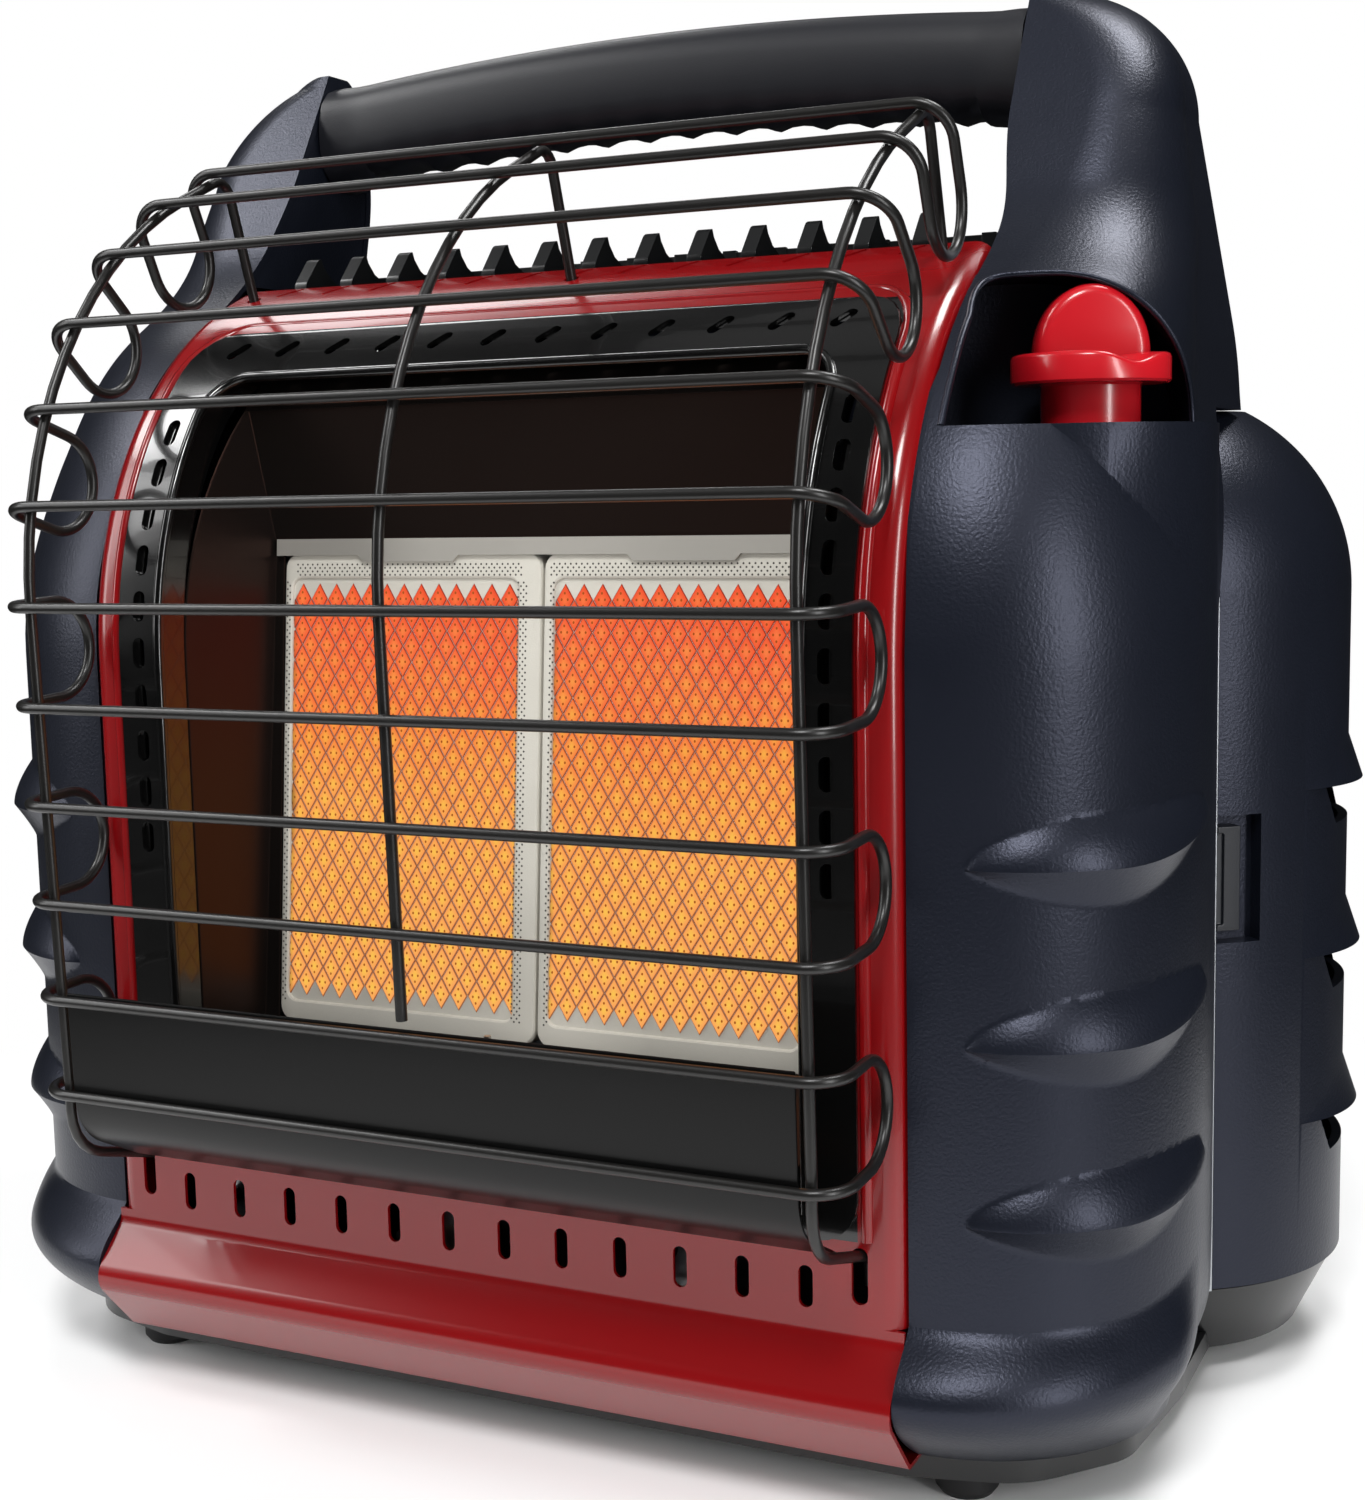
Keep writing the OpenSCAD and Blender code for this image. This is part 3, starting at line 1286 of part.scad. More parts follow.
module power_socket() {
    color("#101113") placed() translate([-switch_at.x, rear_wall_y, switch_at.y]) rotate([-90, 0, 0])
        difference() {
            union() {
                translate([0, 0, 0.05]) cylinder(h = 2, r = 8);
                translate([0, 0, -14]) cylinder(h = 15, r = 6);
            }
            difference() {
                translate([0, 0, -8]) cylinder(h = 20, r = 3);
                translate([0, 0, -9]) cylinder(h = 10, r = 1);
            }
        }
}

// ---- top grille
fins = 13;
fin_pitch = 18.2;
grille_y0 = panel_end_y + 0.4;
module top_grille() {
    x = pillar_half_w - seam;
    color("#141518") placed() {
        difference() {
            translate([-x, grille_y0, 340]) cube([2 * x, pillar_back_y - 0.2 - grille_y0, 10]);
            translate([-x + 12, grille_y0 + 4, 330]) cube([2 * x - 24, 150.5 - grille_y0 - 4, 30]);
        }
        for (i = [0 : fins - 1])
            along_x((i - (fins - 1) / 2) * fin_pitch - 2.4, (i - (fins - 1) / 2) * fin_pitch + 2.4)
                polygon(rounded_path([[grille_y0 + 1, 340], [grille_y0 + 1, 352], [grille_y0 + 9, grille_top_z],
                    [152, grille_top_z], [152, 340]], [3, 4, 1], 4));
        translate([-x, 150, 340]) cube([2 * x, pillar_back_y - 0.2 - 150, grille_top_z - 0.6 - 340]);
    }
}

// ---- handle
grip_y = 139.5;
bar_z = grip_z + 2;
grip_half_w = pillar_half_w - seam;
rib_pitch_x = 2 * 112 / grip_ribs;
grip_n = 20;

function grip_ring(x) = let (u = x / grip_half_w, c = grip_z + grip_rise * (1 - u * u),
        e = smooth(0.9, 1, abs(u)), k = 2.6,
        wave = abs(x) > 112 ? 0 : 1.7 * pow(abs(cos(180 * x / rib_pitch_x)), 0.7))
    [for (i = [0 : grip_n - 1]) let (a = i * 360 / grip_n, cs = cos(a), sn = sin(a),
        q = pow(pow(abs(cs), k) + pow(abs(sn), k), -1 / k), low = smooth(0.35, 0.95, -sn))
        [x, grip_y + (grip_d / 2 + e) * q * cs,
            c + (grip_h / 2 + e) * q * sn + wave * low]];

module handle_grip() {
    xs = concat([-grip_half_w, -grip_half_w + 4, -118, -113],
        [for (i = [0 : grip_ribs * 4]) -112 + i * rib_pitch_x / 4],
        [113, 118, grip_half_w - 4, grip_half_w]);
    n = grip_n;
    m = len(xs);
    color("#26272a") placed() difference() {
        polyhedron(points = [for (x = xs) each grip_ring(x)], faces = concat(
            [[for (i = [n - 1 : -1 : 0]) i]],
            [for (j = [0 : m - 2], i = [0 : n - 1])
                [j * n + i, j * n + (i + 1) % n, (j + 1) * n + i]],
            [for (j = [0 : m - 2], i = [0 : n - 1])
                [j * n + (i + 1) % n, (j + 1) * n + (i + 1) % n, (j + 1) * n + i]],
            [[for (i = [0 : n - 1]) (m - 1) * n + i]]));
        translate([-200, grip_y, bar_z]) rotate([0, 90, 0]) cylinder(h = 400, r = bar_r + fit);
    }
}

module handle_bar() {
    color("#9a9da1") placed() translate([-pillar_half_w - 6.5, grip_y, bar_z]) rotate([0, 90, 0])
        cylinder(h = 2 * (pillar_half_w + 6.5), r = bar_r);
}

// ---- wire guard
wires = 12;
guard_low_z = 104.8;
guard_end_a = 66;
guard_run = (248 - guard_low_z) / cos(guard_lean);
guard_turn = [-guard_reach + guard_r * cos(guard_lean), 248 - guard_r * sin(guard_lean)];
guard_arc = guard_r * (guard_end_a - guard_lean) * PI / 180;

function guard_angle(s) = clamp((s - guard_run) / guard_r * 180 / PI + guard_lean, guard_lean, guard_end_a);
// Point at length s up the guard, drawn in by off.
function guard_pt(s, off = 0) = let (a = guard_angle(s), over = max(0, s - guard_run - guard_arc),
        under = min(0, s - guard_run))
    guard_turn - (guard_r - off) * [cos(a), -sin(a)] + (over + under) * [sin(a), cos(a)];

// One closed loop of two level wires, drawn in its own upright frame: Y is inwards.
module guard_loop(k) {
    lo = guard_pt(2 * k * wire_pitch);
    hi = guard_pt((2 * k + 1) * wire_pitch);
    mid = (lo + hi) / 2;
    r = round(norm(hi - lo) * 50) / 100;
    x = 131 - wire_d / 2;
    e = guard_end - (k == 0 ? 2.4 : 0);
    translate([0, mid.x, mid.y]) rotate([-atan2(hi.x - lo.x, hi.y - lo.y), 0, 0])
        pipe([[-x, 0, -r], [x, 0, -r], [x, e, -r], [x, e, r], [x, 0, r], [-x, 0, r], [-x, e, r], [-x, e, -r]],
            [11, 11, r, r, 11, 11, r, r], wire_d / 2, true);
}

module guard_wires() {
    color("#2b2a29") placed() for (k = [0 : wires / 2 - 1]) guard_loop(k);
}

hook_z = 70;
upright_in = wire_d + 0.05;
foot_pt = [70, 346.2];
upright_turn = guard_pt((wires - 1) * wire_pitch + 9, upright_in);
foot_dir = unit(upright_turn - foot_pt);

// Wire swept along a path in the Y-Z plane at x.
wire_sides = 12;
module swept_wire(x, p, r) {
    n = wire_sides;
    m = len(p);
    nrm = [for (i = [0 : m - 1])
        let (d0 = unit(i > 0 ? p[i] - p[i - 1] : p[1] - p[0]),
            d1 = i < m - 1 ? unit(p[i + 1] - p[i]) : d0, d = unit(d0 + d1))
        [d.y, -d.x]];
    polyhedron(points = [for (i = [0 : m - 1], k = [0 : n - 1])
            [x + r * cos(k * 360 / n), p[i].x + nrm[i].x * r * sin(k * 360 / n),
                p[i].y + nrm[i].y * r * sin(k * 360 / n)]],
        faces = concat([[for (k = [0 : n - 1]) k]],
            [for (i = [0 : m - 2], k = [0 : n - 1]) each quad(i * n + k, (i + 1) * n + k,
                (i + 1) * n + (k + 1) % n, i * n + (k + 1) % n)],
            [[for (k = [n - 1 : -1 : 0]) (m - 1) * n + k]]));
}

module guard_upright(x, hooked) {
    end = foot_pt - foot_dir * 6;
    low = hooked ? [each rounded_path([[2.6, 65], [2.6, 73.4], [-39.3, 86.5],
        guard_pt(0, upright_in)], [3.2, 17], 5)] : [guard_pt(33, upright_in)];
    curve = [for (i = [0 : 14]) guard_pt(guard_run + i * guard_arc / 14, upright_in)];
    top = rounded_path([curve[14], upright_turn, end], [6], 5);
    swept_wire(x, concat(low, curve, [for (i = [1 : len(top) - 1]) top[i]]), wire_d / 2);
}

module guard_uprights() {
    color("#2b2a29") placed() {
        guard_upright(-guard_half_w, true);
        guard_upright(0, false);
        guard_upright(guard_half_w, true);
    }
}

plate_half_w = 117;
module guard_plate() {
    color("#1a1a1b") placed() along_x(-plate_half_w, plate_half_w) bent(rounded_path([[-14, 78.6],
        [-39.6, 92], [-40.6, 104], [-41.6, 136]], [18, 30], 8), -1);
}

// ---- tip-over switch
tip_at = [-50, 130];
tip_pivot_z = 74;
module tip_switch() {
    color("#3a3d42") placed() translate([tip_at.x, tip_at.y, base_bottom_z + pan_t]) {
        translate([-20, -18, 0]) cube([40, 36, 3]);
        for (side = [-1, 1]) translate([-8, side * 15 - 1.5, 0]) cube([16, 3, tip_pivot_z - 11.5 + 6]);
        translate([-14, 13, 40]) cube([6.5, 5, 16]);
        translate([0, 0, tip_pivot_z - base_bottom_z - pan_t]) rotate([90, 0, 0])
            cylinder(h = 33, r = 2, center = true);
    }
}

module tip_pendulum() {
    color("#8d9196") placed() translate([tip_at.x, tip_at.y, tip_pivot_z]) difference() {
        union() {
            rotate([90, 0, 0]) cylinder(h = 14, r = 5, center = true);
            translate([0, 0, -40]) cylinder(h = 37, r = 2.5);
            translate([0, 0, -50]) cylinder(h = 16, r = 10);
        }
        rotate([90, 0, 0]) cylinder(h = 40, r = 2 + fit, center = true);
    }
}

// ---- screws
module pan_screw() {
    difference() {
        union() {
            cylinder(h = 2.4, r1 = 4, r2 = 3.2);
            translate([0, 0, -9]) cylinder(h = 9.5, r = 1.9);
        }
        for (a = [0, 90]) rotate([0, 0, a]) translate([-2, -0.4, 1.2]) cube([4, 0.8, 3]);
    }
}

module screws() {
    color("#7a7d82") placed() both_sides() for (p = screw_at)
        translate([p.x, rear_wall_y + 0.05, p.y]) rotate([-90, 0, 0]) pan_screw();
}

front_panel();
bezel();
reflector_box();
tile_left();
tile_right();
tile_retainer();
plenum_left();
plenum_right();
venturi_left();
venturi_right();
orifice_jets();
gas_manifold();
supply_tube();
pilot_burner();
pilot_tube();
spark_electrode();
thermocouple();
gas_valve();
valve_stem();
knob_spring();
control_knob();
spark_igniter();
side_panel_left();
side_panel_right();
bay_liner_left();
bay_liner_right();
door_left();
door_right();
door_latch_left();
door_latch_right();
hinge_pins();
regulator_left();
regulator_right();
swivel_mounts();
back_panel();
rear_cover();
fan_guard();
fan_motor();
fan_rotor();
battery_box();
battery_door();
battery_contacts();
switch_frame();
switch_rocker();
power_socket();
top_grille();
handle_grip();
handle_bar();
guard_wires();
guard_uprights();
guard_plate();
base_pan();
feet();
tip_switch();
tip_pendulum();
heat_shield();
screws();
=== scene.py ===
"""Looks of a portable propane heater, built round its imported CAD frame.

Lengths are in metres, in the frame of the CAD part: X to the right as seen from
the front, Y to the back, Z up, with the feet on Z = 0. Sizes in millimetres are
those of the drawing, whose Y starts at the heater's face.
"""

import json
import logging
import math
from collections.abc import Iterator, Sequence
from contextlib import contextmanager
from dataclasses import dataclass, field
from enum import Enum
from typing import ClassVar

import bmesh
import bpy
import numpy as np
from bpy.types import Material, Mesh, Node, NodeSocket, NodeTree, Object
from mathutils import Matrix, Vector
from mathutils.bvhtree import BVHTree


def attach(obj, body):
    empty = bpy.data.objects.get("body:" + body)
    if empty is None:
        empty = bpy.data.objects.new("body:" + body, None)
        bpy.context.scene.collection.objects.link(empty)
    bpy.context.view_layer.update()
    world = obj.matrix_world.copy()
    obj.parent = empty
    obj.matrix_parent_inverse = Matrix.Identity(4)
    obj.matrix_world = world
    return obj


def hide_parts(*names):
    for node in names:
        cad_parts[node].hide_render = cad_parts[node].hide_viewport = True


LOG = logging.getLogger("heater")
MM = 0.001

# Places that several sub-assemblies share, in millimetres of the drawing.
FACE_Y = 95.233  # from the drawing's Y to the frame's
FACE_TOP, FACE_R = 232.0, 120.0  # where the face starts to curve back, and its radius
BAY = (157.0, 168.0)  # axis of a cylinder bay
DOOR_R, SEAM_TURN = 63.0, -58.0  # radius of a door, and turn of its seam
DECK_Z, DOME_Z = 302.0, 246.5  # flat top of a door, and middle of its dome
KNOB_AXIS, KNOB_TURN = (163.0, 69.0), 25.0
AXIS_GAP = 0.01  # how near to its axis a turned profile starts

MATH, RANGE, NOISE = "ShaderNodeMath", "ShaderNodeMapRange", "ShaderNodeTexNoise"

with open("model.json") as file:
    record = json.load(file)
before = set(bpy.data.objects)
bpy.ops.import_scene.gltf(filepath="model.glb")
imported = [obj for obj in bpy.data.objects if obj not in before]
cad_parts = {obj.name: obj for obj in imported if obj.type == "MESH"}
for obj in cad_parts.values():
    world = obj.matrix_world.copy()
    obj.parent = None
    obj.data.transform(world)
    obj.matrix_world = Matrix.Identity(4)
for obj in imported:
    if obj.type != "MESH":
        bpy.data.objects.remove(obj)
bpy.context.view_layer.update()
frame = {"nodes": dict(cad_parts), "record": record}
SLOT_OF = {row["node"]: row["material_slot"] for row in frame["record"]["subparts"]}
BODY_OF = {node: body for body, nodes in frame["record"]["behaviour"]["bodies"].items() for node in nodes}


# ------------------------------ Nodes of materials and trees ------------------------------


def linear(code: str) -> tuple[float, float, float, float]:
    """Turn an sRGB hex colour such as "#c9c6c0" into linear light with an alpha of 1."""
    parts = [int(code[i : i + 2], 16) / 255 for i in (1, 3, 5)]
    return (*(c / 12.92 if c <= 0.04045 else ((c + 0.055) / 1.055) ** 2.4 for c in parts), 1.0)


def feed(tree: NodeTree, node: Node, values: dict) -> Node:
    """Set or link the inputs of a node.

    Args:
        tree: The node tree.
        node: The node.
        values: Input, by name or number, to a socket, a node (for its first
            output), a hex colour or a plain value.

    Returns:
        The same node.
    """
    for key, value in values.items():
        if isinstance(value, Node):
            value = value.outputs[0]
        if isinstance(value, NodeSocket):
            tree.links.new(value, node.inputs[key])
        else:
            node.inputs[key].default_value = linear(value) if isinstance(value, str) else value
    return node


def add(tree: NodeTree, kind: str, values: dict | None = None, **settings: object) -> Node:
    """Add a node with its settings and links.

    Args:
        tree: The node tree.
        kind: The node's type name.
        values: What its inputs get, as in feed.
        settings: Properties of the node.

    Returns:
        The new node.
    """
    node = tree.nodes.new(kind)
    for key, value in settings.items():
        setattr(node, key, value)
    return feed(tree, node, values or {})


def new_material(name: str, values: dict) -> tuple[Material, NodeTree, Node]:
    """Start a material from the Principled shader.

    Args:
        name: The material's name.
        values: What the shader's inputs get, as in feed.

    Returns:
        The material, its tree and the shader.
    """
    made = bpy.data.materials.new(name)
    made.use_nodes = True
    tree = made.node_tree
    return made, tree, feed(tree, tree.nodes["Principled BSDF"], values)


# ------------------------------ Meshes and solids ------------------------------


@contextmanager
def editing(mesh: Mesh) -> Iterator[bmesh.types.BMesh]:
    """Open a mesh for editing, and write it back when the block ends."""
    work = bmesh.new()
    work.from_mesh(mesh)
    yield work
    work.to_mesh(mesh)
    work.free()


def piece_from(name: str, mesh: Mesh) -> Object:
    """Put a mesh into the scene as a piece at the origin."""
    obj = bpy.data.objects.new(name, mesh)
    bpy.context.scene.collection.objects.link(obj)
    return obj


def raw_mesh(name: str, verts: Sequence, faces: Sequence, edges: Sequence = ()) -> Mesh:
    """Make a mesh of points, faces and loose edges just as they are given."""
    mesh = bpy.data.meshes.new(name)
    mesh.from_pydata([tuple(v) for v in verts], edges, [tuple(f) for f in faces])
    return mesh


def mesh_of(name: str, verts: Sequence, faces: Sequence) -> Mesh:
    """Make a mesh without doubles, whose faces point outwards.

    Args:
        name: The mesh's name.
        verts: Points in metres.
        faces: Point numbers of each face.

    Returns:
        The mesh.
    """
    mesh = raw_mesh(name, verts, faces)
    mesh.validate()
    with editing(mesh) as work:
        bmesh.ops.remove_doubles(work, verts=work.verts, dist=1e-6)
        bmesh.ops.recalc_face_normals(work, faces=work.faces)
    return mesh


def smooth_by_angle(mesh: Mesh, degrees: float) -> None:
    """Shade a mesh smooth, with sharp edges where its faces turn by more than an angle.

    Args:
        mesh: The mesh.
        degrees: The largest angle that still looks smooth.
    """
    with editing(mesh) as work:
        for face in work.faces:
            face.smooth = True
        for edge in work.edges:
            edge.smooth = len(edge.link_faces) == 2 and edge.calc_face_angle(0.0) < math.radians(degrees)


def plain_mesh(obj: Object) -> Mesh:
    """Put the result of an object's modifiers into its mesh and take them off."""
    bpy.context.view_layer.update()
    mesh = bpy.data.meshes.new_from_object(obj.evaluated_get(bpy.context.evaluated_depsgraph_get()))
    obj.modifiers.clear()
    obj.data = mesh
    return mesh


def join_mesh(obj: Object, extra: Sequence[Mesh]) -> None:
    """Add meshes to a piece, whose slots their faces' material numbers go by."""
    with editing(obj.data) as work:
        for mesh in extra:
            work.from_mesh(mesh)


def mirror(obj: Object) -> None:
    """Turn a piece drawn on the right into the one on the left."""
    with editing(obj.data) as work:
        bmesh.ops.scale(work, vec=(-1, 1, 1), verts=work.verts)
        bmesh.ops.reverse_faces(work, faces=work.faces)


def split(work: bmesh.types.BMesh, spot: Sequence[float], along: Sequence[float],
          clear: bool = False) -> None:
    """Split a mesh by a plane through a spot, and drop what lies along its normal if asked."""
    parts = work.verts[:] + work.edges[:] + work.faces[:]
    bmesh.ops.bisect_plane(work, geom=parts, dist=1e-6, plane_co=spot, plane_no=along, clear_outer=clear)


def ease_edges(obj: Object, width_mm: float, degrees: float = 38.0) -> None:
    """Round the sharp edges of a piece, as folding and moulding leave them.

    Args:
        obj: The piece.
        width_mm: How far the rounding reaches from an edge.
        degrees: Edges sharper than this are rounded.
    """
    with editing(obj.data) as work:
        bmesh.ops.dissolve_limit(work, angle_limit=math.radians(0.4), verts=work.verts, edges=work.edges)
    rounding = obj.modifiers.new("rounding", "BEVEL")
    rounding.width = width_mm * MM
    rounding.segments = 2
    rounding.limit_method = "ANGLE"
    rounding.angle_limit = math.radians(degrees)
    rounding.miter_outer = "MITER_ARC"
    smooth_by_angle(plain_mesh(obj), degrees)


def rounded_rect(x0: float, z0: float, x1: float, z1: float, r: float, steps: int = 6) -> np.ndarray:
    """Points of a rectangle with round corners.

    Args:
        x0: Left side.
        z0: Bottom.
        x1: Right side.
        z1: Top.
        r: Corner radius.
        steps: Segments of each corner.

    Returns:
        One row of X and Z each, counter-clockwise from the right side's top.
    """
    rows = []
    left, right, low, high = x0 + r, x1 - r, z0 + r, z1 - r
    for cx, cz, start in ((right, high, 0), (left, high, 90), (left, low, 180), (right, low, 270)):
        for k in range(steps + 1):
            a = math.radians(start + 90 * k / steps)
            rows.append((cx + r * math.cos(a), cz + r * math.sin(a)))
    return np.array(rows)


def loft(rings: Sequence[np.ndarray], closed: bool = True) -> tuple[np.ndarray, list]:
    """Join rings of equally many points with quads.

    Args:
        rings: Closed rings, each an array of 3-D points.
        closed: Whether the first and the last ring get a face.

    Returns:
        Points and faces.
    """
    n, last = len(rings[0]), len(rings) - 1
    faces: list[Sequence[int]] = []
    for j in range(last):
        for i in range(n):
            k = (i + 1) % n
            faces.append((j * n + i, j * n + k, (j + 1) * n + k, (j + 1) * n + i))
    if closed:
        faces += [tuple(range(n - 1, -1, -1)), tuple(range(last * n, (last + 1) * n))]
    return np.concatenate(rings), faces


def solid(name: str, rings: Sequence[np.ndarray]) -> Object:
    """Make a closed solid from rings of points in millimetres of the drawing."""
    verts, faces = loft(rings)
    return piece_from(name, mesh_of(name, (verts - (0.0, FACE_Y, 0.0)) * MM, faces))


def spun(points: Sequence, degrees: float, about: Sequence[float]) -> np.ndarray:
    """Turn points about an upright axis.

    Args:
        points: Points, from the axis.
        degrees: The turn.
        about: X and Y of the axis.

    Returns:
        The points, one row each.
    """
    c, s = math.cos(math.radians(degrees)), math.sin(math.radians(degrees))
    x, y, z = np.asarray(points, float).T
    return np.stack([about[0] + x * c - y * s, about[1] + x * s + y * c, z], 1)


def at_knob(points: Sequence) -> np.ndarray:
    """Turn points about the knob's axis as the knob stands."""
    return spun(points, KNOB_TURN, KNOB_AXIS)


def box_solid(name: str, low: Sequence[float], high: Sequence[float], turn: float = 0.0,
              about: Sequence[float] = (0.0, 0.0)) -> Object:
    """Make a box that is turned about an upright axis.

    Args:
        name: The object's name.
        low: Lowest corner from the axis, in millimetres.
        high: Highest corner from the axis, in millimetres.
        turn: Turn of the box, in degrees.
        about: X and Y of the axis.

    Returns:
        The box.
    """
    (x0, y0, z0), (x1, y1, z1) = low, high
    plan = ((x0, y0), (x1, y0), (x1, y1), (x0, y1))
    return solid(name, [spun([(x, y, z) for x, y in plan], turn, about) for z in (z0, z1)])


def turned_solid(name: str, profile: Sequence[tuple[float, float]], about: Sequence[float],
                 steps: int = 128) -> Object:
    """Turn a profile about an upright axis.

    Args:
        name: The object's name.
        profile: Radius and height of each point, from the axis back to the axis.
        about: X and Y of the axis.
        steps: Segments of the turn.

    Returns:
        The solid.
    """
    a = np.linspace(0, 2 * math.pi, steps, endpoint=False)
    x, y, one = np.cos(a), np.sin(a), np.ones(steps)
    return solid(name, [np.stack([about[0] + r * x, about[1] + r * y, z * one], 1) for r, z in profile])


def pin(name: str, low: float, high: float, r: float, about: Sequence[float], steps: int = 128,
        r_high: float | None = None) -> Object:
    """Make a round pin between two heights, or a cone if its radius at the top is given."""
    profile = [(AXIS_GAP, low), (r, low), (r_high or r, high), (AXIS_GAP, high)]
    return turned_solid(name, profile, about, steps)


class Change(Enum):
    """What a solid does to another one."""

    CUT = "DIFFERENCE"
    MEET = "INTERSECT"
    JOIN = "UNION"


def combine(how: Change, base: Object, *others: Object, keep: bool = False) -> Object:
    """Change a solid by others, one after the other.

    Args:
        how: What the others do to it.
        base: The solid that changes.
        others: The other solids.
        keep: Whether the others stay for a further use.

    Returns:
        The changed solid.
    """
    for other in others:
        change = base.modifiers.new("change", "BOOLEAN")
        change.operation = how.value
        change.solver = "MANIFOLD"
        change.object = other
        plain_mesh(base)
        if not keep:
            bpy.data.objects.remove(other)
    return base


def merged_copy(node: str, name: str, degrees: float) -> Object:
    """Copy a CAD node's mesh, join its loose triangles and shade it smooth.

    Args:
        node: The CAD node.
        name: The new piece's name.
        degrees: The largest angle that still looks smooth.

    Returns:
        The new piece, not yet on any body.
    """
    mesh = frame["nodes"][node].data.copy()
    mesh.materials.clear()
    with editing(mesh) as work:
        bmesh.ops.remove_doubles(work, verts=work.verts, dist=2e-6)
        bmesh.ops.dissolve_degenerate(work, edges=work.edges, dist=1e-6)
    smooth_by_angle(mesh, degrees)
    if mesh.attributes.get("custom_normal"):
        mesh.attributes.remove(mesh.attributes["custom_normal"])
    return piece_from(name, mesh)


def stand_for(obj: Object, node: str) -> None:
    """Let a finished piece stand for a CAD node: put it on the node's body and hide the node."""
    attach(obj, BODY_OF[node])
    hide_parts(node)
    LOG.info("%s: %d triangles", obj.name, sum(len(p.vertices) - 2 for p in obj.data.polygons))


# ------------------------------ Finishes ------------------------------


@dataclass(frozen=True)
class Finish:
    """A surface with one colour, dressed with a fine relief."""

    name: str
    colour: str
    metallic: float = 0.0
    roughness: float = 0.5
    ior: float = 1.5  # of what isn't metal
    coat: float = 0.0
    grain_mm: float = 0.0  # size of the relief's grain, 0 for none
    grain_depth_mm: float = 0.0
    mottle: float = 0.0  # how much the roughness varies from place to place
    tint: str = "#ffffff"  # colour of the sheen

    def material(self) -> Material:
        """Build the material, or return the one already built."""
        if self.name in bpy.data.materials:
            return bpy.data.materials[self.name]
        made, tree, shader = new_material(self.name, {
            "Base Color": self.colour, "Metallic": self.metallic, "Roughness": self.roughness,
            "Specular Tint": self.tint, "Coat Weight": self.coat, "Coat Roughness": 0.04,
        })
        if not self.metallic:
            feed(tree, shader, {"IOR": self.ior})
        if self.grain_mm or self.mottle:
            place = add(tree, "ShaderNodeTexCoord").outputs["Object"]
        if self.grain_mm:
            grain = add(tree, NOISE, {"Vector": place, "Scale": 1 / (self.grain_mm * MM), "Detail": 2.0})
            relief = add(tree, "ShaderNodeBump", {"Height": grain, "Distance": self.grain_depth_mm * MM})
            feed(tree, shader, {"Normal": relief})
        if self.mottle:
            cloud = add(tree, NOISE, {"Vector": place, "Scale": 28.0, "Detail": 3.0})
            ends = {"To Min": self.roughness - self.mottle, "To Max": self.roughness + self.mottle}
            feed(tree, shader, {"Roughness": add(tree, RANGE, {"Value": cloud, **ends})})
        return made

    def dress(self, obj: Object) -> None:
        """Give a piece this finish all over."""
        obj.data.materials.clear()
        obj.data.materials.append(self.material())


# Gloss stoving enamel on pressed steel: deep colour under a hard, mirror-like skin.
RED_ENAMEL = Finish("red gloss enamel", "#7a060a", roughness=0.22, coat=0.2)
# Vitreous black enamel: near black, with sharp bright reflections.
BLACK_ENAMEL = Finish("black gloss enamel", "#070707", roughness=0.2, coat=0.4, ior=1.52)
# Satin black stove paint on the top grille and the back.
STOVE_PAINT = Finish("satin black paint", "#0b0c0d", roughness=0.3, grain_mm=0.6, grain_depth_mm=0.02)
# Injection moulded ABS: dark navy with a soft sheen. Its spark-eroded grain is drawn coarser
# than the real one, so that it shows.
NAVY_ABS = Finish("navy moulded ABS", "#10131b", roughness=0.37, tint="#cfd4ee", grain_mm=0.9,
                  grain_depth_mm=0.1, mottle=0.04)
# The same plastic, unpainted dark grey, on small parts.
GREY_ABS = Finish("dark grey ABS", "#15181f", roughness=0.42, grain_mm=0.55, grain_depth_mm=0.03)
# Thermoplastic rubber on the grip: charcoal, dull.
GRIP_RUBBER = Finish("charcoal grip rubber", "#121319", roughness=0.44, grain_mm=0.5, grain_depth_mm=0.04)
# Moulded rubber feet: black, without any shine.
FOOT_RUBBER = Finish("black rubber", "#121213", roughness=0.7)
# Moulded knob: bright red, with soft highlights.
KNOB_RED = Finish("red moulded knob", "#b3121d", roughness=0.25, coat=0.2)
# Heavy steel wire with a dark baked coat: a thin line of light along each wire.
GUARD_WIRE = Finish("coated guard wire", "#141312", roughness=0.34)
# The same coat on sheet: black, with hardly any sheen.
PLATE_ENAMEL = Finish("black plate enamel", "#070707", roughness=0.34, ior=1.35)
# Folded sheet that heat has turned dull and pale.
RETAINER_STEEL = Finish("heat dulled steel", "#bab6ae", metallic=0.6, roughness=0.55, mottle=0.06)
# Stove black on the inside of the chamber; its sheen is tinted orange, a painted reflection of the glow that
# it mirrors.
CHAMBER_BLACK = Finish("satin chamber black", "#11100f", roughness=0.33, ior=1.4, tint="#ffb49c")
# Rolled steel sheet: clean and bright, with faint clouds.
BRIGHT_STEEL = Finish("bright steel sheet", "#c9c6c0", metallic=1.0, roughness=0.28, mottle=0.06)
# Hot dipped sheet: grey, with cloudy patches.
ZINC_SHEET = Finish("zinc coated sheet", "#a9adb1", metallic=1.0, roughness=0.42, mottle=0.1)
# Turned bar and fasteners: even grey.
STEEL = Finish("turned steel", "#b4b6b8", metallic=1.0, roughness=0.3)
# Drawn copper tube: warm, a little clouded by handling.
COPPER = Finish("soft copper tube", "#c07a55", metallic=1.0, roughness=0.3, mottle=0.06)
# Machined brass fittings: yellow and clean.
BRASS = Finish("machined brass", "#c9a55c", metallic=1.0, roughness=0.28)
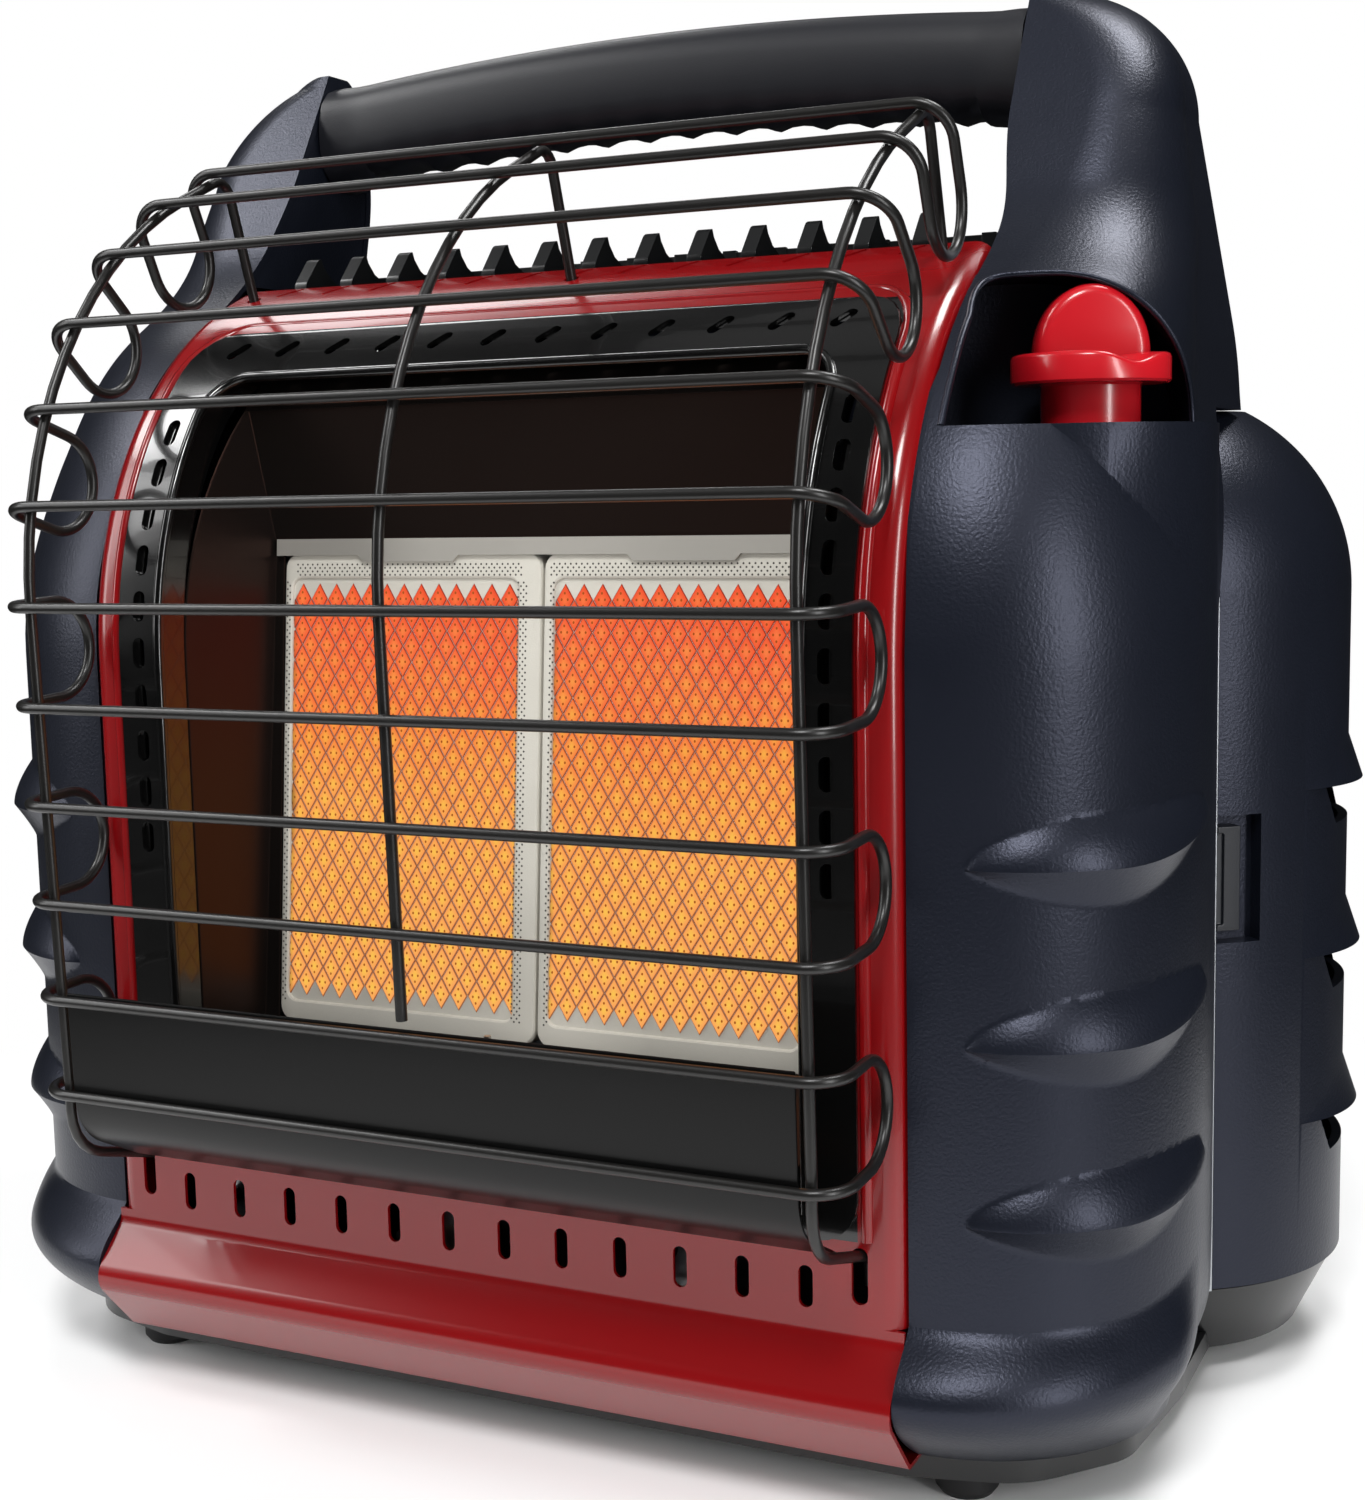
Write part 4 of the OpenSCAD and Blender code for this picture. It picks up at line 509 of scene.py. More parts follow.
# Pressure cast zinc: dull, with a grained skin.
DIE_CAST = Finish("zinc die casting", "#a2a5a9", metallic=1.0, roughness=0.45, grain_mm=0.8,
                  grain_depth_mm=0.03)
# Glazed steatite: off-white with a wet shine.
INSULATOR = Finish("glazed insulator", "#e3ded2", roughness=0.15)
# Moulded fittings on the back: plain black.
BLACK_ABS = Finish("black moulded plastic", "#191b1e", roughness=0.45, grain_mm=0.6, grain_depth_mm=0.02)
# Pressed and fired cordierite: chalky off-white.
TILE_CERAMIC = Finish("fired cordierite ceramic", "#cbc7bc", roughness=0.85, grain_mm=0.5,
                      grain_depth_mm=0.04)
# The mouth of a hole in the ceramic, too deep for light.
PINHOLE = Finish("pinhole shadow", "#4a4641", roughness=0.9)

FINISH_OF_SLOT = {
    "red_enamel": RED_ENAMEL, "black_enamel": BLACK_ENAMEL, "grille_black": STOVE_PAINT,
    "casing_plastic": NAVY_ABS, "latch_plastic": GREY_ABS, "grip_rubber": GRIP_RUBBER,
    "foot_rubber": FOOT_RUBBER, "wire_steel": GUARD_WIRE, "plate_steel": PLATE_ENAMEL,
    "bright_steel": BRIGHT_STEEL,
    "galvanised": ZINC_SHEET, "steel_bar": STEEL, "copper_tube": COPPER, "brass": BRASS,
    "zinc_casting": DIE_CAST, "ceramic_white": INSULATOR, "inner_plastic": BLACK_ABS,
    "fan_plastic": GREY_ABS, "contact_steel": STEEL,
}
FINISH_OF_NODE = {"tile_retainer": RETAINER_STEEL, "reflector_box": CHAMBER_BLACK}


@dataclass(frozen=True)
class GlowingCeramic:
    """Porous cordierite ceramic, pressed and fired: cream where cool, glowing where gas burns.

    The colour runs from orange-red near the top of a tile to amber lower down, and
    each raised diamond is brightest in its middle. Its "part" attribute is 0 in the
    middle of a diamond, 1 on its rim, 2 in the groove and 3 in a pinhole.
    """

    name: str = "glowing cordierite ceramic"
    tops: tuple[str, ...] = ("#f9c54e", "#f9c14c", "#f6ad43", "#f68a44", "#f6633a")  # from the foot up
    rims: tuple[str, ...] = ("#f8a35e", "#f89b51", "#f6803f", "#f56138", "#ea4826")
    groove: str = "#5c0d04"
    # painted shade: the darker glow of a pinhole, which is only a flat patch
    pit_shade: str = "#a04a0e"
    bands: tuple[float, ...] = (0.0, 0.42, 0.62, 0.8, 1.0)  # where the colours stand, of a tile's height
    strength: float = 1.0
    cool: str = "#b9b3a8"
    charred: str = "#1a0703"  # under the glow
    foot_z: float = 0.114
    head_z: float = 0.262

    def ramp(self, tree: NodeTree, height: Node, colours: Sequence[str]) -> Node:
        """Add a colour ramp over the height of a tile.

        Args:
            tree: The node tree.
            height: Height from 0 at the foot to 1 at the head.
            colours: Hex colours from the foot up.

        Returns:
            The ramp.
        """
        node = add(tree, "ShaderNodeValToRGB", {"Fac": height})
        band = node.color_ramp.elements
        while len(band) < len(colours):
            band.new(0.5)
        for item, spot, code in zip(band, self.bands, colours):
            item.position = spot
            item.color = linear(code)
        return node

    def material(self) -> Material:
        """Build the material, or return the one already built."""
        if self.name in bpy.data.materials:
            return bpy.data.materials[self.name]
        made, tree, shader = new_material(self.name, {"Roughness": 0.85, "Specular IOR Level": 0.2})
        place = add(tree, "ShaderNodeTexCoord").outputs["Object"]
        axes = add(tree, "ShaderNodeSeparateXYZ", {"Vector": place}).outputs
        wander = add(tree, NOISE, {"Vector": place, "Scale": 26.0, "Detail": 2.0})
        shaken = []
        for axis, by in (("Z", 0.022), ("X", 0.002)):
            shake = add(tree, RANGE, {"Value": wander, "To Min": -by, "To Max": by})
            shaken.append(add(tree, MATH, {0: axes[axis], 1: shake}, operation="ADD"))
        height = add(tree, RANGE, {"Value": shaken[0], "From Min": self.foot_z, "From Max": self.head_z})
        part = add(tree, "ShaderNodeAttribute", attribute_name="part").outputs["Fac"]
        colour = self.ramp(tree, height, self.tops).outputs[0]
        for step, other in enumerate((self.ramp(tree, height, self.rims), self.groove, self.pit_shade)):
            share = add(tree, MATH, {0: part, 1: float(step)}, operation="SUBTRACT", use_clamp=True)
            both = add(tree, "ShaderNodeMix", {"Factor": share, 6: colour, 7: other}, data_type="RGBA")
            colour = both.outputs[2]
        # The glow starts inside the borders: past the middle rib, on either side of it, before
        # the outer borders and below the head.
        fades = []
        for source, low, full in (
            (shaken[1], 0.0020, 0.0058),
            (shaken[1], -0.0062, -0.0098),
            (shaken[1], 0.0890, 0.0850),
            (shaken[1], -0.0940, -0.0900),
            (axes["Z"], 0.2600, 0.2555),
        ):
            ends = {"Value": source, "From Min": low, "From Max": full}
            fades.append(add(tree, RANGE, ends, interpolation_type="SMOOTHSTEP"))
        heat = add(tree, MATH, {0: fades[0], 1: fades[1]}, operation="MAXIMUM")
        for fade in fades[2:]:
            heat = add(tree, MATH, {0: heat, 1: fade}, operation="MULTIPLY")
        power = add(tree, MATH, {0: heat, 1: self.strength}, operation="MULTIPLY")
        warm = add(tree, MATH, {0: heat, 1: 5.0}, operation="MULTIPLY", use_clamp=True)
        coats = {"Factor": warm, 6: self.cool, 7: self.charred}
        base = add(tree, "ShaderNodeMix", coats, data_type="RGBA").outputs[2]
        feed(tree, shader, {"Emission Color": colour, "Emission Strength": power, "Base Color": base})
        return made


# ------------------------------ Studio ------------------------------


@dataclass
class Studio:
    """Floor, backdrop, lamps and camera."""

    eye_mm: tuple[float, float, float] = (312.5, -515.0, 281.5)
    yaw: float = 25.4  # turns of the camera to the left, down and about its axis, in degrees
    pitch: float = 7.1
    roll: float = -1.15
    lens_mm: float = 50.4
    sensor_mm: float = 36.0
    room_light: float = 0.25
    floor_m: float = 4.0
    card_m: float = 2.6  # distance of the dark cards that the gloss finishes mirror
    # Name, place, aim, width and height, and watts of each lamp.
    lamps: tuple[tuple, ...] = (
        ("key", (0.4, -1.15, 1.65), (0.0, 0.0, 0.2), (0.45, 0.45), 20),
        ("strip", (1.5, -0.85, 0.5), (0.15, -0.05, 0.22), (0.22, 1.3), 15),
        ("left", (-1.3, -0.9, 0.8), (0.0, 0.0, 0.25), (0.5, 1.1), 10),
        ("upper_left", (-1.1, -0.45, 1.5), (-0.1, 0.0, 0.35), (0.45, 0.45), 9),
        ("above", (0.5, 0.32, 1.5), (0.12, 0.0, 0.35), (0.4, 0.4), 10),
        ("behind", (-0.75, 0.75, 1.35), (0.05, 0.0, 0.32), (0.7, 0.25), 3.5),
    )

    def camera(self) -> None:
        """Place the camera where the heater is seen from."""
        y, p, r = (math.radians(a) for a in (self.yaw, self.pitch, self.roll))
        ahead = Vector((-math.sin(y) * math.cos(p), math.cos(y) * math.cos(p), -math.sin(p)))
        level = Vector((math.cos(y), math.sin(y), 0.0))
        up = level.cross(ahead)
        axes = (math.cos(r) * level + math.sin(r) * up, -math.sin(r) * level + math.cos(r) * up, -ahead)
        data = bpy.data.cameras.new("view")
        data.lens = self.lens_mm
        data.sensor_width = self.sensor_mm
        obj = bpy.data.objects.new("view", data)
        spot = Vector((self.eye_mm[0], self.eye_mm[1] - FACE_Y, self.eye_mm[2])) * MM
        obj.matrix_world = Matrix.Translation(spot) @ Matrix(axes).transposed().to_4x4()
        bpy.context.scene.collection.objects.link(obj)
        bpy.context.scene.camera = obj

    def light(self) -> None:
        """Hang the soft rectangular lamps."""
        for name, spot, aim, size, watts in self.lamps:
            data = bpy.data.lights.new(name, "AREA")
            data.shape = "RECTANGLE"
            data.size, data.size_y = size
            data.energy = watts
            obj = bpy.data.objects.new(name, data)
            turn = (Vector(aim) - Vector(spot)).to_track_quat("-Z", "Y").to_matrix().to_4x4()
            obj.matrix_world = Matrix.Translation(Vector(spot)) @ turn
            bpy.context.scene.collection.objects.link(obj)

    def floor(self) -> None:
        """Lay a pale floor that looks white to the camera and keeps the shadow."""
        m = self.floor_m
        corners = [(-m, -m, 0), (m, -m, 0), (m, m, 0), (-m, m, 0)]
        made, tree, shader = new_material("pale floor", {"Base Color": "#ffffff", "Roughness": 0.6})
        place = add(tree, "ShaderNodeTexCoord").outputs["Object"]
        away = add(tree, "ShaderNodeVectorMath", {0: place}, operation="LENGTH").outputs["Value"]
        ends = {"Value": away, "From Min": 0.22, "From Max": 0.5}
        far = add(tree, RANGE, ends, interpolation_type="SMOOTHSTEP")
        rays = add(tree, "ShaderNodeLightPath").outputs
        mirrored = add(tree, MATH, {0: rays["Is Glossy Ray"], 1: 0.1}, operation="MULTIPLY")
        seen = add(tree, MATH, {0: rays["Is Camera Ray"], 1: mirrored}, operation="MAXIMUM")
        blank = add(tree, MATH, {0: far, 1: seen}, operation="MULTIPLY")
        white = add(tree, "ShaderNodeEmission", {"Color": "#ffffff", "Strength": 1.0})
        both = add(tree, "ShaderNodeMixShader", {0: blank, 1: shader, 2: white})
        feed(tree, tree.nodes["Material Output"], {"Surface": both})
        obj = piece_from("floor", mesh_of("floor", corners, [(0, 1, 2, 3)]))
        obj.data.materials.append(made)

    def cards(self) -> None:
        """Stand dark cards round the set, seen only in what mirrors them."""
        angles = [2 * math.pi * k / 32 for k in range(32)]
        rings = [
            np.array([(r * math.cos(a), r * math.sin(a), z) for a in angles])
            for r, z in ((0.5, 0.004), (self.card_m, 0.01), (self.card_m, 2.2), (1.1, 2.6))
        ]
        obj = piece_from("cards", mesh_of("cards", *loft(rings, False)))
        obj.data.materials.append(new_material("dark card", {"Base Color": "#1a1a1a", "Roughness": 1.0})[0])
        obj.visible_camera = obj.visible_diffuse = obj.visible_shadow = False
        obj.visible_transmission = obj.visible_volume_scatter = False

    def world(self) -> None:
        """Light the room evenly, and show white to the camera."""
        made = bpy.data.worlds.new("room")
        made.use_nodes = True
        tree = made.node_tree
        tree.nodes.clear()
        rays = add(tree, "ShaderNodeLightPath").outputs
        straight = {0: rays["Is Camera Ray"], 1: rays["Is Transmission Ray"]}
        seen = add(tree, MATH, straight, operation="MAXIMUM")
        plain = add(tree, "ShaderNodeBackground", {"Color": "#ffffff", "Strength": self.room_light})
        white = add(tree, "ShaderNodeBackground", {"Color": "#ffffff", "Strength": 1.0})
        both = add(tree, "ShaderNodeMixShader", {0: seen, 1: plain, 2: white})
        add(tree, "ShaderNodeOutputWorld", {"Surface": both})
        bpy.context.scene.world = made

    def build(self) -> None:
        """Set up the whole studio."""
        bpy.context.scene.view_settings.view_transform = "Standard"
        for step in (self.floor, self.cards, self.world, self.light, self.camera):
            step()


# ------------------------------ Geometry Nodes tools ------------------------------


class NodeTool:
    """A Geometry Nodes tree whose result becomes a plain mesh."""

    label: ClassVar[str]
    inputs: ClassVar[dict[str, str]]  # the tree's inputs and their kinds

    def shape(self, tree: NodeTree, given: bpy.types.NodeOutputs) -> Node:
        """Add the nodes that make the shape out of the tree's inputs."""
        raise NotImplementedError

    def tree(self) -> NodeTree:
        """Build the tree, or return the one already built."""
        if self.label in bpy.data.node_groups:
            return bpy.data.node_groups[self.label]
        made = bpy.data.node_groups.new(self.label, "GeometryNodeTree")
        made.interface.new_socket("Geometry", in_out="OUTPUT", socket_type="NodeSocketGeometry")
        for label, kind in self.inputs.items():
            made.interface.new_socket(label, in_out="INPUT", socket_type=f"NodeSocket{kind}")
        given = add(made, "NodeGroupInput").outputs
        shape = {"Geometry": self.shape(made, given), "Material": given["Finish"]}
        add(made, "NodeGroupOutput", {"Geometry": add(made, "GeometryNodeSetMaterial", shape)})
        return made

    def run(self, name: str, values: dict) -> Mesh:
        """Run the tree.

        Args:
            name: The result's name.
            values: Every input by its name, with a mesh where the tree takes an object.

        Returns:
            The plain mesh.
        """
        meshes = {key: value for key, value in values.items() if isinstance(value, Mesh)}
        guides = {key: piece_from(f"{name}_{key}", mesh) for key, mesh in meshes.items()}
        host = piece_from(f"{name}_host", bpy.data.meshes.new(f"{name}_host"))
        change = host.modifiers.new(name, "NODES")
        change.node_group = self.tree()
        for item in change.node_group.interface.items_tree:
            if item.in_out == "INPUT":
                change[item.identifier] = (values | guides)[item.name]
        mesh = plain_mesh(host)
        mesh.name = name
        for obj in (host, *guides.values()):
            bpy.data.objects.remove(obj)
        return mesh


class Repeat(NodeTool):
    """A unit shape set out in rows on a flat field."""

    label = "rows of a unit"
    inputs = {
        "Unit": "Object", "Pitch X": "Float", "Pitch Z": "Float", "Columns": "Int", "Rows": "Int",
        "Shift": "Float", "Place": "Vector", "Turn": "Vector", "Finish": "Material",
    }

    def shape(self, tree: NodeTree, given: bpy.types.NodeOutputs) -> Node:
        """Put the unit on a field of points, row by row, and turn the field.

        Args:
            tree: The node tree.
            given: The tree's inputs.

        Returns:
            The last node.
        """
        unit = add(tree, "GeometryNodeObjectInfo", {"Object": given["Unit"]}).outputs["Geometry"]
        total = add(tree, MATH, {0: given["Columns"], 1: given["Rows"]}, operation="MULTIPLY")
        points = add(tree, "GeometryNodePoints", {"Count": total})
        index = add(tree, "GeometryNodeInputIndex")
        row = add(tree, MATH, {0: index, 1: given["Columns"]}, operation="DIVIDE")
        row = add(tree, MATH, {0: row}, operation="FLOOR")
        column = add(tree, MATH, {0: index, 1: given["Columns"]}, operation="FLOORED_MODULO")
        odd = add(tree, MATH, {0: row, 1: 2.0}, operation="FLOORED_MODULO")
        push = add(tree, MATH, {0: odd, 1: given["Shift"]}, operation="MULTIPLY")
        along = add(tree, MATH, {0: column, 1: push}, operation="ADD")
        x = add(tree, MATH, {0: along, 1: given["Pitch X"]}, operation="MULTIPLY")
        z = add(tree, MATH, {0: row, 1: given["Pitch Z"]}, operation="MULTIPLY")
        spot = add(tree, "ShaderNodeCombineXYZ", {"X": x, "Z": z})
        placed = add(tree, "GeometryNodeSetPosition", {"Geometry": points, "Position": spot})
        copies = add(tree, "GeometryNodeInstanceOnPoints", {"Points": placed, "Instance": unit})
        real = add(tree, "GeometryNodeRealizeInstances", {"Geometry": copies})
        move = {"Geometry": real, "Translation": given["Place"], "Rotation": given["Turn"]}
        return add(tree, "GeometryNodeTransform", move)


class Bead(NodeTool):
    """A round bead that follows a path."""

    label = "bead along a path"
    inputs = {"Path": "Object", "Radius": "Float", "Sides": "Int", "Finish": "Material"}

    def shape(self, tree: NodeTree, given: bpy.types.NodeOutputs) -> Node:
        """Sweep a ring along the path.

        Args:
            tree: The node tree.
            given: The tree's inputs.

        Returns:
            The last node.
        """
        path = add(tree, "GeometryNodeObjectInfo", {"Object": given["Path"]}).outputs["Geometry"]
        line = add(tree, "GeometryNodeMeshToCurve", {"Mesh": path})
        size = {"Resolution": given["Sides"], "Radius": given["Radius"]}
        ring = add(tree, "GeometryNodeCurvePrimitiveCircle", size)
        sweep = {"Curve": line, "Profile Curve": ring, "Fill Caps": True}
        tube = add(tree, "GeometryNodeCurveToMesh", sweep)
        smooth = add(tree, "GeometryNodeSetShadeSmooth", {"Geometry": tube})
        return add(tree, "GeometryNodeRealizeInstances", {"Geometry": smooth})

    def along(self, name: str, points: Sequence, radius_mm: float, finish: Finish, sides: int = 10) -> Mesh:
        """Lay a bead along a path.

        Args:
            name: The mesh's name.
            points: The path's points in metres.
            radius_mm: Radius of the bead.
            finish: Its finish.
            sides: Its sides.

        Returns:
            The bead's mesh.
        """
        line = raw_mesh(f"{name}_path", points, [], [(i, i + 1) for i in range(len(points) - 1)])
        values = {"Path": line, "Radius": radius_mm * MM, "Sides": sides, "Finish": finish.material()}
        return self.run(name, values)


# ------------------------------ Burner tiles ------------------------------


def marked(mesh: Mesh, parts: Sequence[float]) -> Mesh:
    """Give each point of a mesh the "part" that the glow goes by."""
    mesh.attributes.new("part", "FLOAT", "POINT").data.foreach_set("value", parts)
    return mesh


@dataclass
class BurnerTiles:
    """Two ceramic burner tiles, each with a face of raised diamonds and pinholes."""

    foot: tuple[float, float] = (-0.062233, 0.114)  # Y and Z of the leaning plane's foot, in metres
    lean: float = 5.3
    width: float = 94.6
    height: float = 151.6
    thick: float = 13.0
    face_y: float = 0.2  # depth of the border behind the leaning plane
    start: tuple[float, float] = (0.5, -1.8)  # lower left corner on the leaning plane
    diamond: tuple[float, float] = (6.15, 9.9)
    rise: float = 0.62  # how far a diamond's middle stands out of its groove
    sunk: float = 1.1  # depth of the diamonds' floor behind the border
    edge: float = 0.3  # gap between the diamonds and the border
    hole: tuple[float, float] = (0.34, 0.44)  # half width and half height of a pinhole in a diamond
    border_hole: float = 0.36
    hole_pitch: tuple[float, float] = (1.9, 1.1)
    hole_rows: int = 124
    row_shift: float = 0.5  # of every other row, of a pitch
    # Left, bottom, right and top borders of the burning face of the right and the left tile.
    windows: dict[int, tuple[float, float, float, float]] = field(
        default_factory=lambda: {1: (3.5, 7.0, 8.0, 8.0), -1: (8.0, 7.0, 3.0, 8.0)}
    )

    def place(self, points: Sequence) -> np.ndarray:
        """Move points from the leaning plane, in millimetres, to the heater's frame.

        Args:
            points: Points with X across, Y into the tile and Z up the tile.

        Returns:
            Points in metres.
        """
        a = math.radians(self.lean)
        x, y, z = (np.asarray(points, float) * MM).T
        high = -y * math.sin(a) + z * math.cos(a) + self.foot[1]
        return np.stack([x, y * math.cos(a) + z * math.sin(a) + self.foot[0], high], 1)

    def block(self, window: Sequence[float]) -> tuple[np.ndarray, list]:
        """Make a tile with a raised border round its burning face.

        Args:
            window: Left, bottom, right and top borders.

        Returns:
            Points on the leaning plane and faces.
        """
        whole = (0, 0, self.width, self.height)
        inside = (window[0], window[1], self.width - window[2], self.height - window[3])
        rings = []
        for inset, r, (x0, z0, x1, z1), y in (
            (0.0, 5.0, whole, self.thick),
            (0.0, 5.0, whole, 0.9),
            (0.3, 4.7, whole, 0.25),
            (0.9, 4.1, whole, 0.0),
            (-0.7, 4.0, inside, 0.0),
            (-0.2, 3.6, inside, 0.3),
            (0.0, 3.4, inside, self.sunk),
        ):
            ring = rounded_rect(x0 + inset, z0 + inset, x1 - inset, z1 - inset, r) + self.start
            rings.append(np.insert(ring, 1, y + self.face_y, axis=1))
        return loft(rings)

    def cell(self) -> Mesh:
        """Make one raised diamond with its four pinholes, round its own middle."""
        w, h = self.diamond[0] / 2, self.diamond[1] / 2
        verts: list[tuple[float, float, float]] = [(0, -self.rise, 0)]
        part = [0.0]
        for grow, y, value in ((0.85, -0.42, 1.0), (0.995, -0.04, 2.0)):
            verts += [(sx * w * grow, y, sz * h * grow) for sx, sz in ((1, 0), (0, 1), (-1, 0), (0, -1))]
            part += [value] * 4
        faces: list[tuple[int, ...]] = []
        for i in range(4):
            j = (i + 1) % 4
            faces += [(0, 1 + j, 1 + i), (1 + i, 1 + j, 5 + j, 5 + i)]
        # The pinholes are flat hexagons just above the diamond; their darker colour (part 3) is painted
        # shade.
        for cx, cz in ((0, 1.95), (0, -1.95), (1.05, 0), (-1.05, 0)):
            first = len(verts)
            y = -self.rise + 0.2 * (abs(cx) / w + abs(cz) / h) / 0.86 - 0.035
            for a in (math.radians(60 * k) for k in range(6)):
                verts.append((cx + self.hole[0] * math.cos(a), y, cz + self.hole[1] * math.sin(a)))
            part += [3.0] * 6
            faces.append(tuple(range(first + 5, first - 1, -1)))
        return marked(raw_mesh("diamond", [[c * MM for c in v] for v in verts], faces), part)

    def pinhole(self) -> Mesh:
        """Make the dark mouth of a pinhole in the border."""
        r = self.border_hole
        turns = [math.radians(60 * k) for k in range(6)]
        ring = [(r * math.cos(a) * MM, -0.03 * MM, r * math.sin(a) * MM) for a in turns]
        return marked(raw_mesh("pinhole", ring, [(5, 4, 3, 2, 1, 0)]), [3.0] * 6)

    def rows_of(self, unit: Mesh, start: Sequence[float], pitch: Sequence[float], counts: Sequence[int],
                y: float, finish: Material) -> Mesh:
        """Set out a unit in staggered rows on the face of a tile.

        Args:
            unit: The shape that repeats.
            start: X and Z of the first unit on the leaning plane.
            pitch: Distance in a row and between rows.
            counts: Units in a row, and rows.
            y: Depth of the field behind the leaning plane.
            finish: The material.

        Returns:
            The mesh of all the units.
        """
        place = tuple(self.place([(start[0], y, start[1])])[0])
        return Repeat().run(f"{unit.name}s", {
            "Unit": unit, "Pitch X": pitch[0] * MM, "Pitch Z": pitch[1] * MM,
            "Columns": counts[0], "Rows": counts[1], "Shift": self.row_shift,
            "Place": place, "Turn": (-math.radians(self.lean), 0.0, 0.0), "Finish": finish,
        })

    def tile(self, side: int) -> Object:
        """Make one tile.

        Args:
            side: 1 for the right tile, -1 for the left one.

        Returns:
            The tile.
        """
        cool, glow, dark = finishes = [f.material() for f in (TILE_CERAMIC, GlowingCeramic(), PINHOLE)]
        left, bottom, right, top = self.windows[side]
        verts, faces = self.block(self.windows[side])
        block = marked(raw_mesh(f"tile_{side}", self.place(verts), faces), [1.15] * len(verts))
        x0, z0 = left + self.start[0], bottom + self.start[1]
        x1, z1 = self.width - right + self.start[0], self.height - top + self.start[1]
        edge, half_h = self.edge, self.diamond[1] / 2
        wide, high = x1 - x0 - 2 * edge, z1 - z0
        across, up = round(wide / self.diamond[0]), int((high - half_h) / half_h)
        corner = (x0 + edge, z0 + (high - (up + 1) * half_h) / 2 + half_h)
        pitch = (wide / across, half_h)
        floor = self.face_y + self.sunk
        fields = [self.rows_of(self.cell(), corner, pitch, (across + 1, up), floor, glow)]
        with editing(fields[0]) as work:
            for x, way in ((x0 + edge, -1.0), (x1 - edge, 1.0)):
                split(work, (x * MM, 0, 0), (way, 0, 0), clear=True)
        step, rows = self.hole_pitch[0], self.hole_rows
        inner, outer = (2 if border > 5 else 1 for border in (left, right))
        for start, counts in (
            ((x0 + 0.9 - step * inner, z0), (inner, rows)),
            ((x1 + 1.0, z0), (outer, rows)),
            ((x0 - 1.0, z1 + 1.1), (int((x1 - x0) / step), 4)),
        ):
            fields.append(self.rows_of(self.pinhole(), start, self.hole_pitch, counts, self.face_y, dark))
        for mesh in fields:
            number = finishes.index(mesh.materials[-1])
            mesh.polygons.foreach_set("material_index", [number] * len(mesh.polygons))
        for item in finishes:
            block.materials.append(item)
        obj = piece_from("burner_tile_right" if side > 0 else "burner_tile_left", block)
        join_mesh(obj, fields)
        if side < 0:
            mirror(obj)
        smooth_by_angle(obj.data, 25)
        return obj

    def build(self) -> set[str]:
        """Make both tiles, and return the CAD nodes that they stand for."""
        for side, node in ((1, "tile_right"), (-1, "tile_left")):
            stand_for(self.tile(side), node)
        return {"tile_right", "tile_left"}


# ------------------------------ Side panels and doors ------------------------------


def ease(a: float, b: float, x: np.ndarray | float) -> np.ndarray:
    """Go smoothly from 0 at a to 1 at b."""
    t = np.clip((np.asarray(x, float) - a) / (b - a), 0, 1)
    return t * t * (3 - 2 * t)


def dome(low: float, grow: float) -> list[tuple[float, float]]:
    """Profile of a door with its domed top, cut flat where the deck is.

    Args:
        low: Height of the bottom.
        grow: How far the form is larger than the door.

    Returns:
        Radius and height of each point, from the axis back to the axis.
    """
    angles = np.radians(np.linspace(0, 61.7, 28))
    ball = [(DOOR_R * math.cos(t), DOME_Z + DOOR_R * math.sin(t)) for t in angles]
    flat = DECK_Z + 0.24 * grow
    outer = [(x + grow * x / DOOR_R, min(z + grow * (z - DOME_Z) / DOOR_R, flat)) for x, z in ball]
    return [(AXIS_GAP, low), (DOOR_R + grow, low), *outer, (AXIS_GAP, outer[-1][1])]


class Moulding:
    """A navy moulding that is made for both sides."""

    node: ClassVar[str]
    prefix: ClassVar[str]
    smooth: ClassVar[float]  # largest angle that looks smooth

    def shape(self, right: bool) -> Object:
        """Make the moulding for one side, drawn on the right."""
        raise NotImplementedError

    def beads(self, right: bool) -> list[Mesh]:
        """Make what is added to the moulding of one side."""
        return []

    def build(self) -> set[str]:
        """Make both mouldings, and return the CAD nodes that they stand for."""
        for side in ("right", "left"):
            right, node = side == "right", f"{self.node}_{side}"
            obj = self.shape(right)
            if not right:
                mirror(obj)
            obj.name = f"{self.prefix}_{node}"
            smooth_by_angle(obj.data, self.smooth)
            NAVY_ABS.dress(obj)
            beads = self.beads(right)
            if beads:
                join_mesh(obj, beads)
            stand_for(obj, node)
        return {f"{self.node}_right", f"{self.node}_left"}


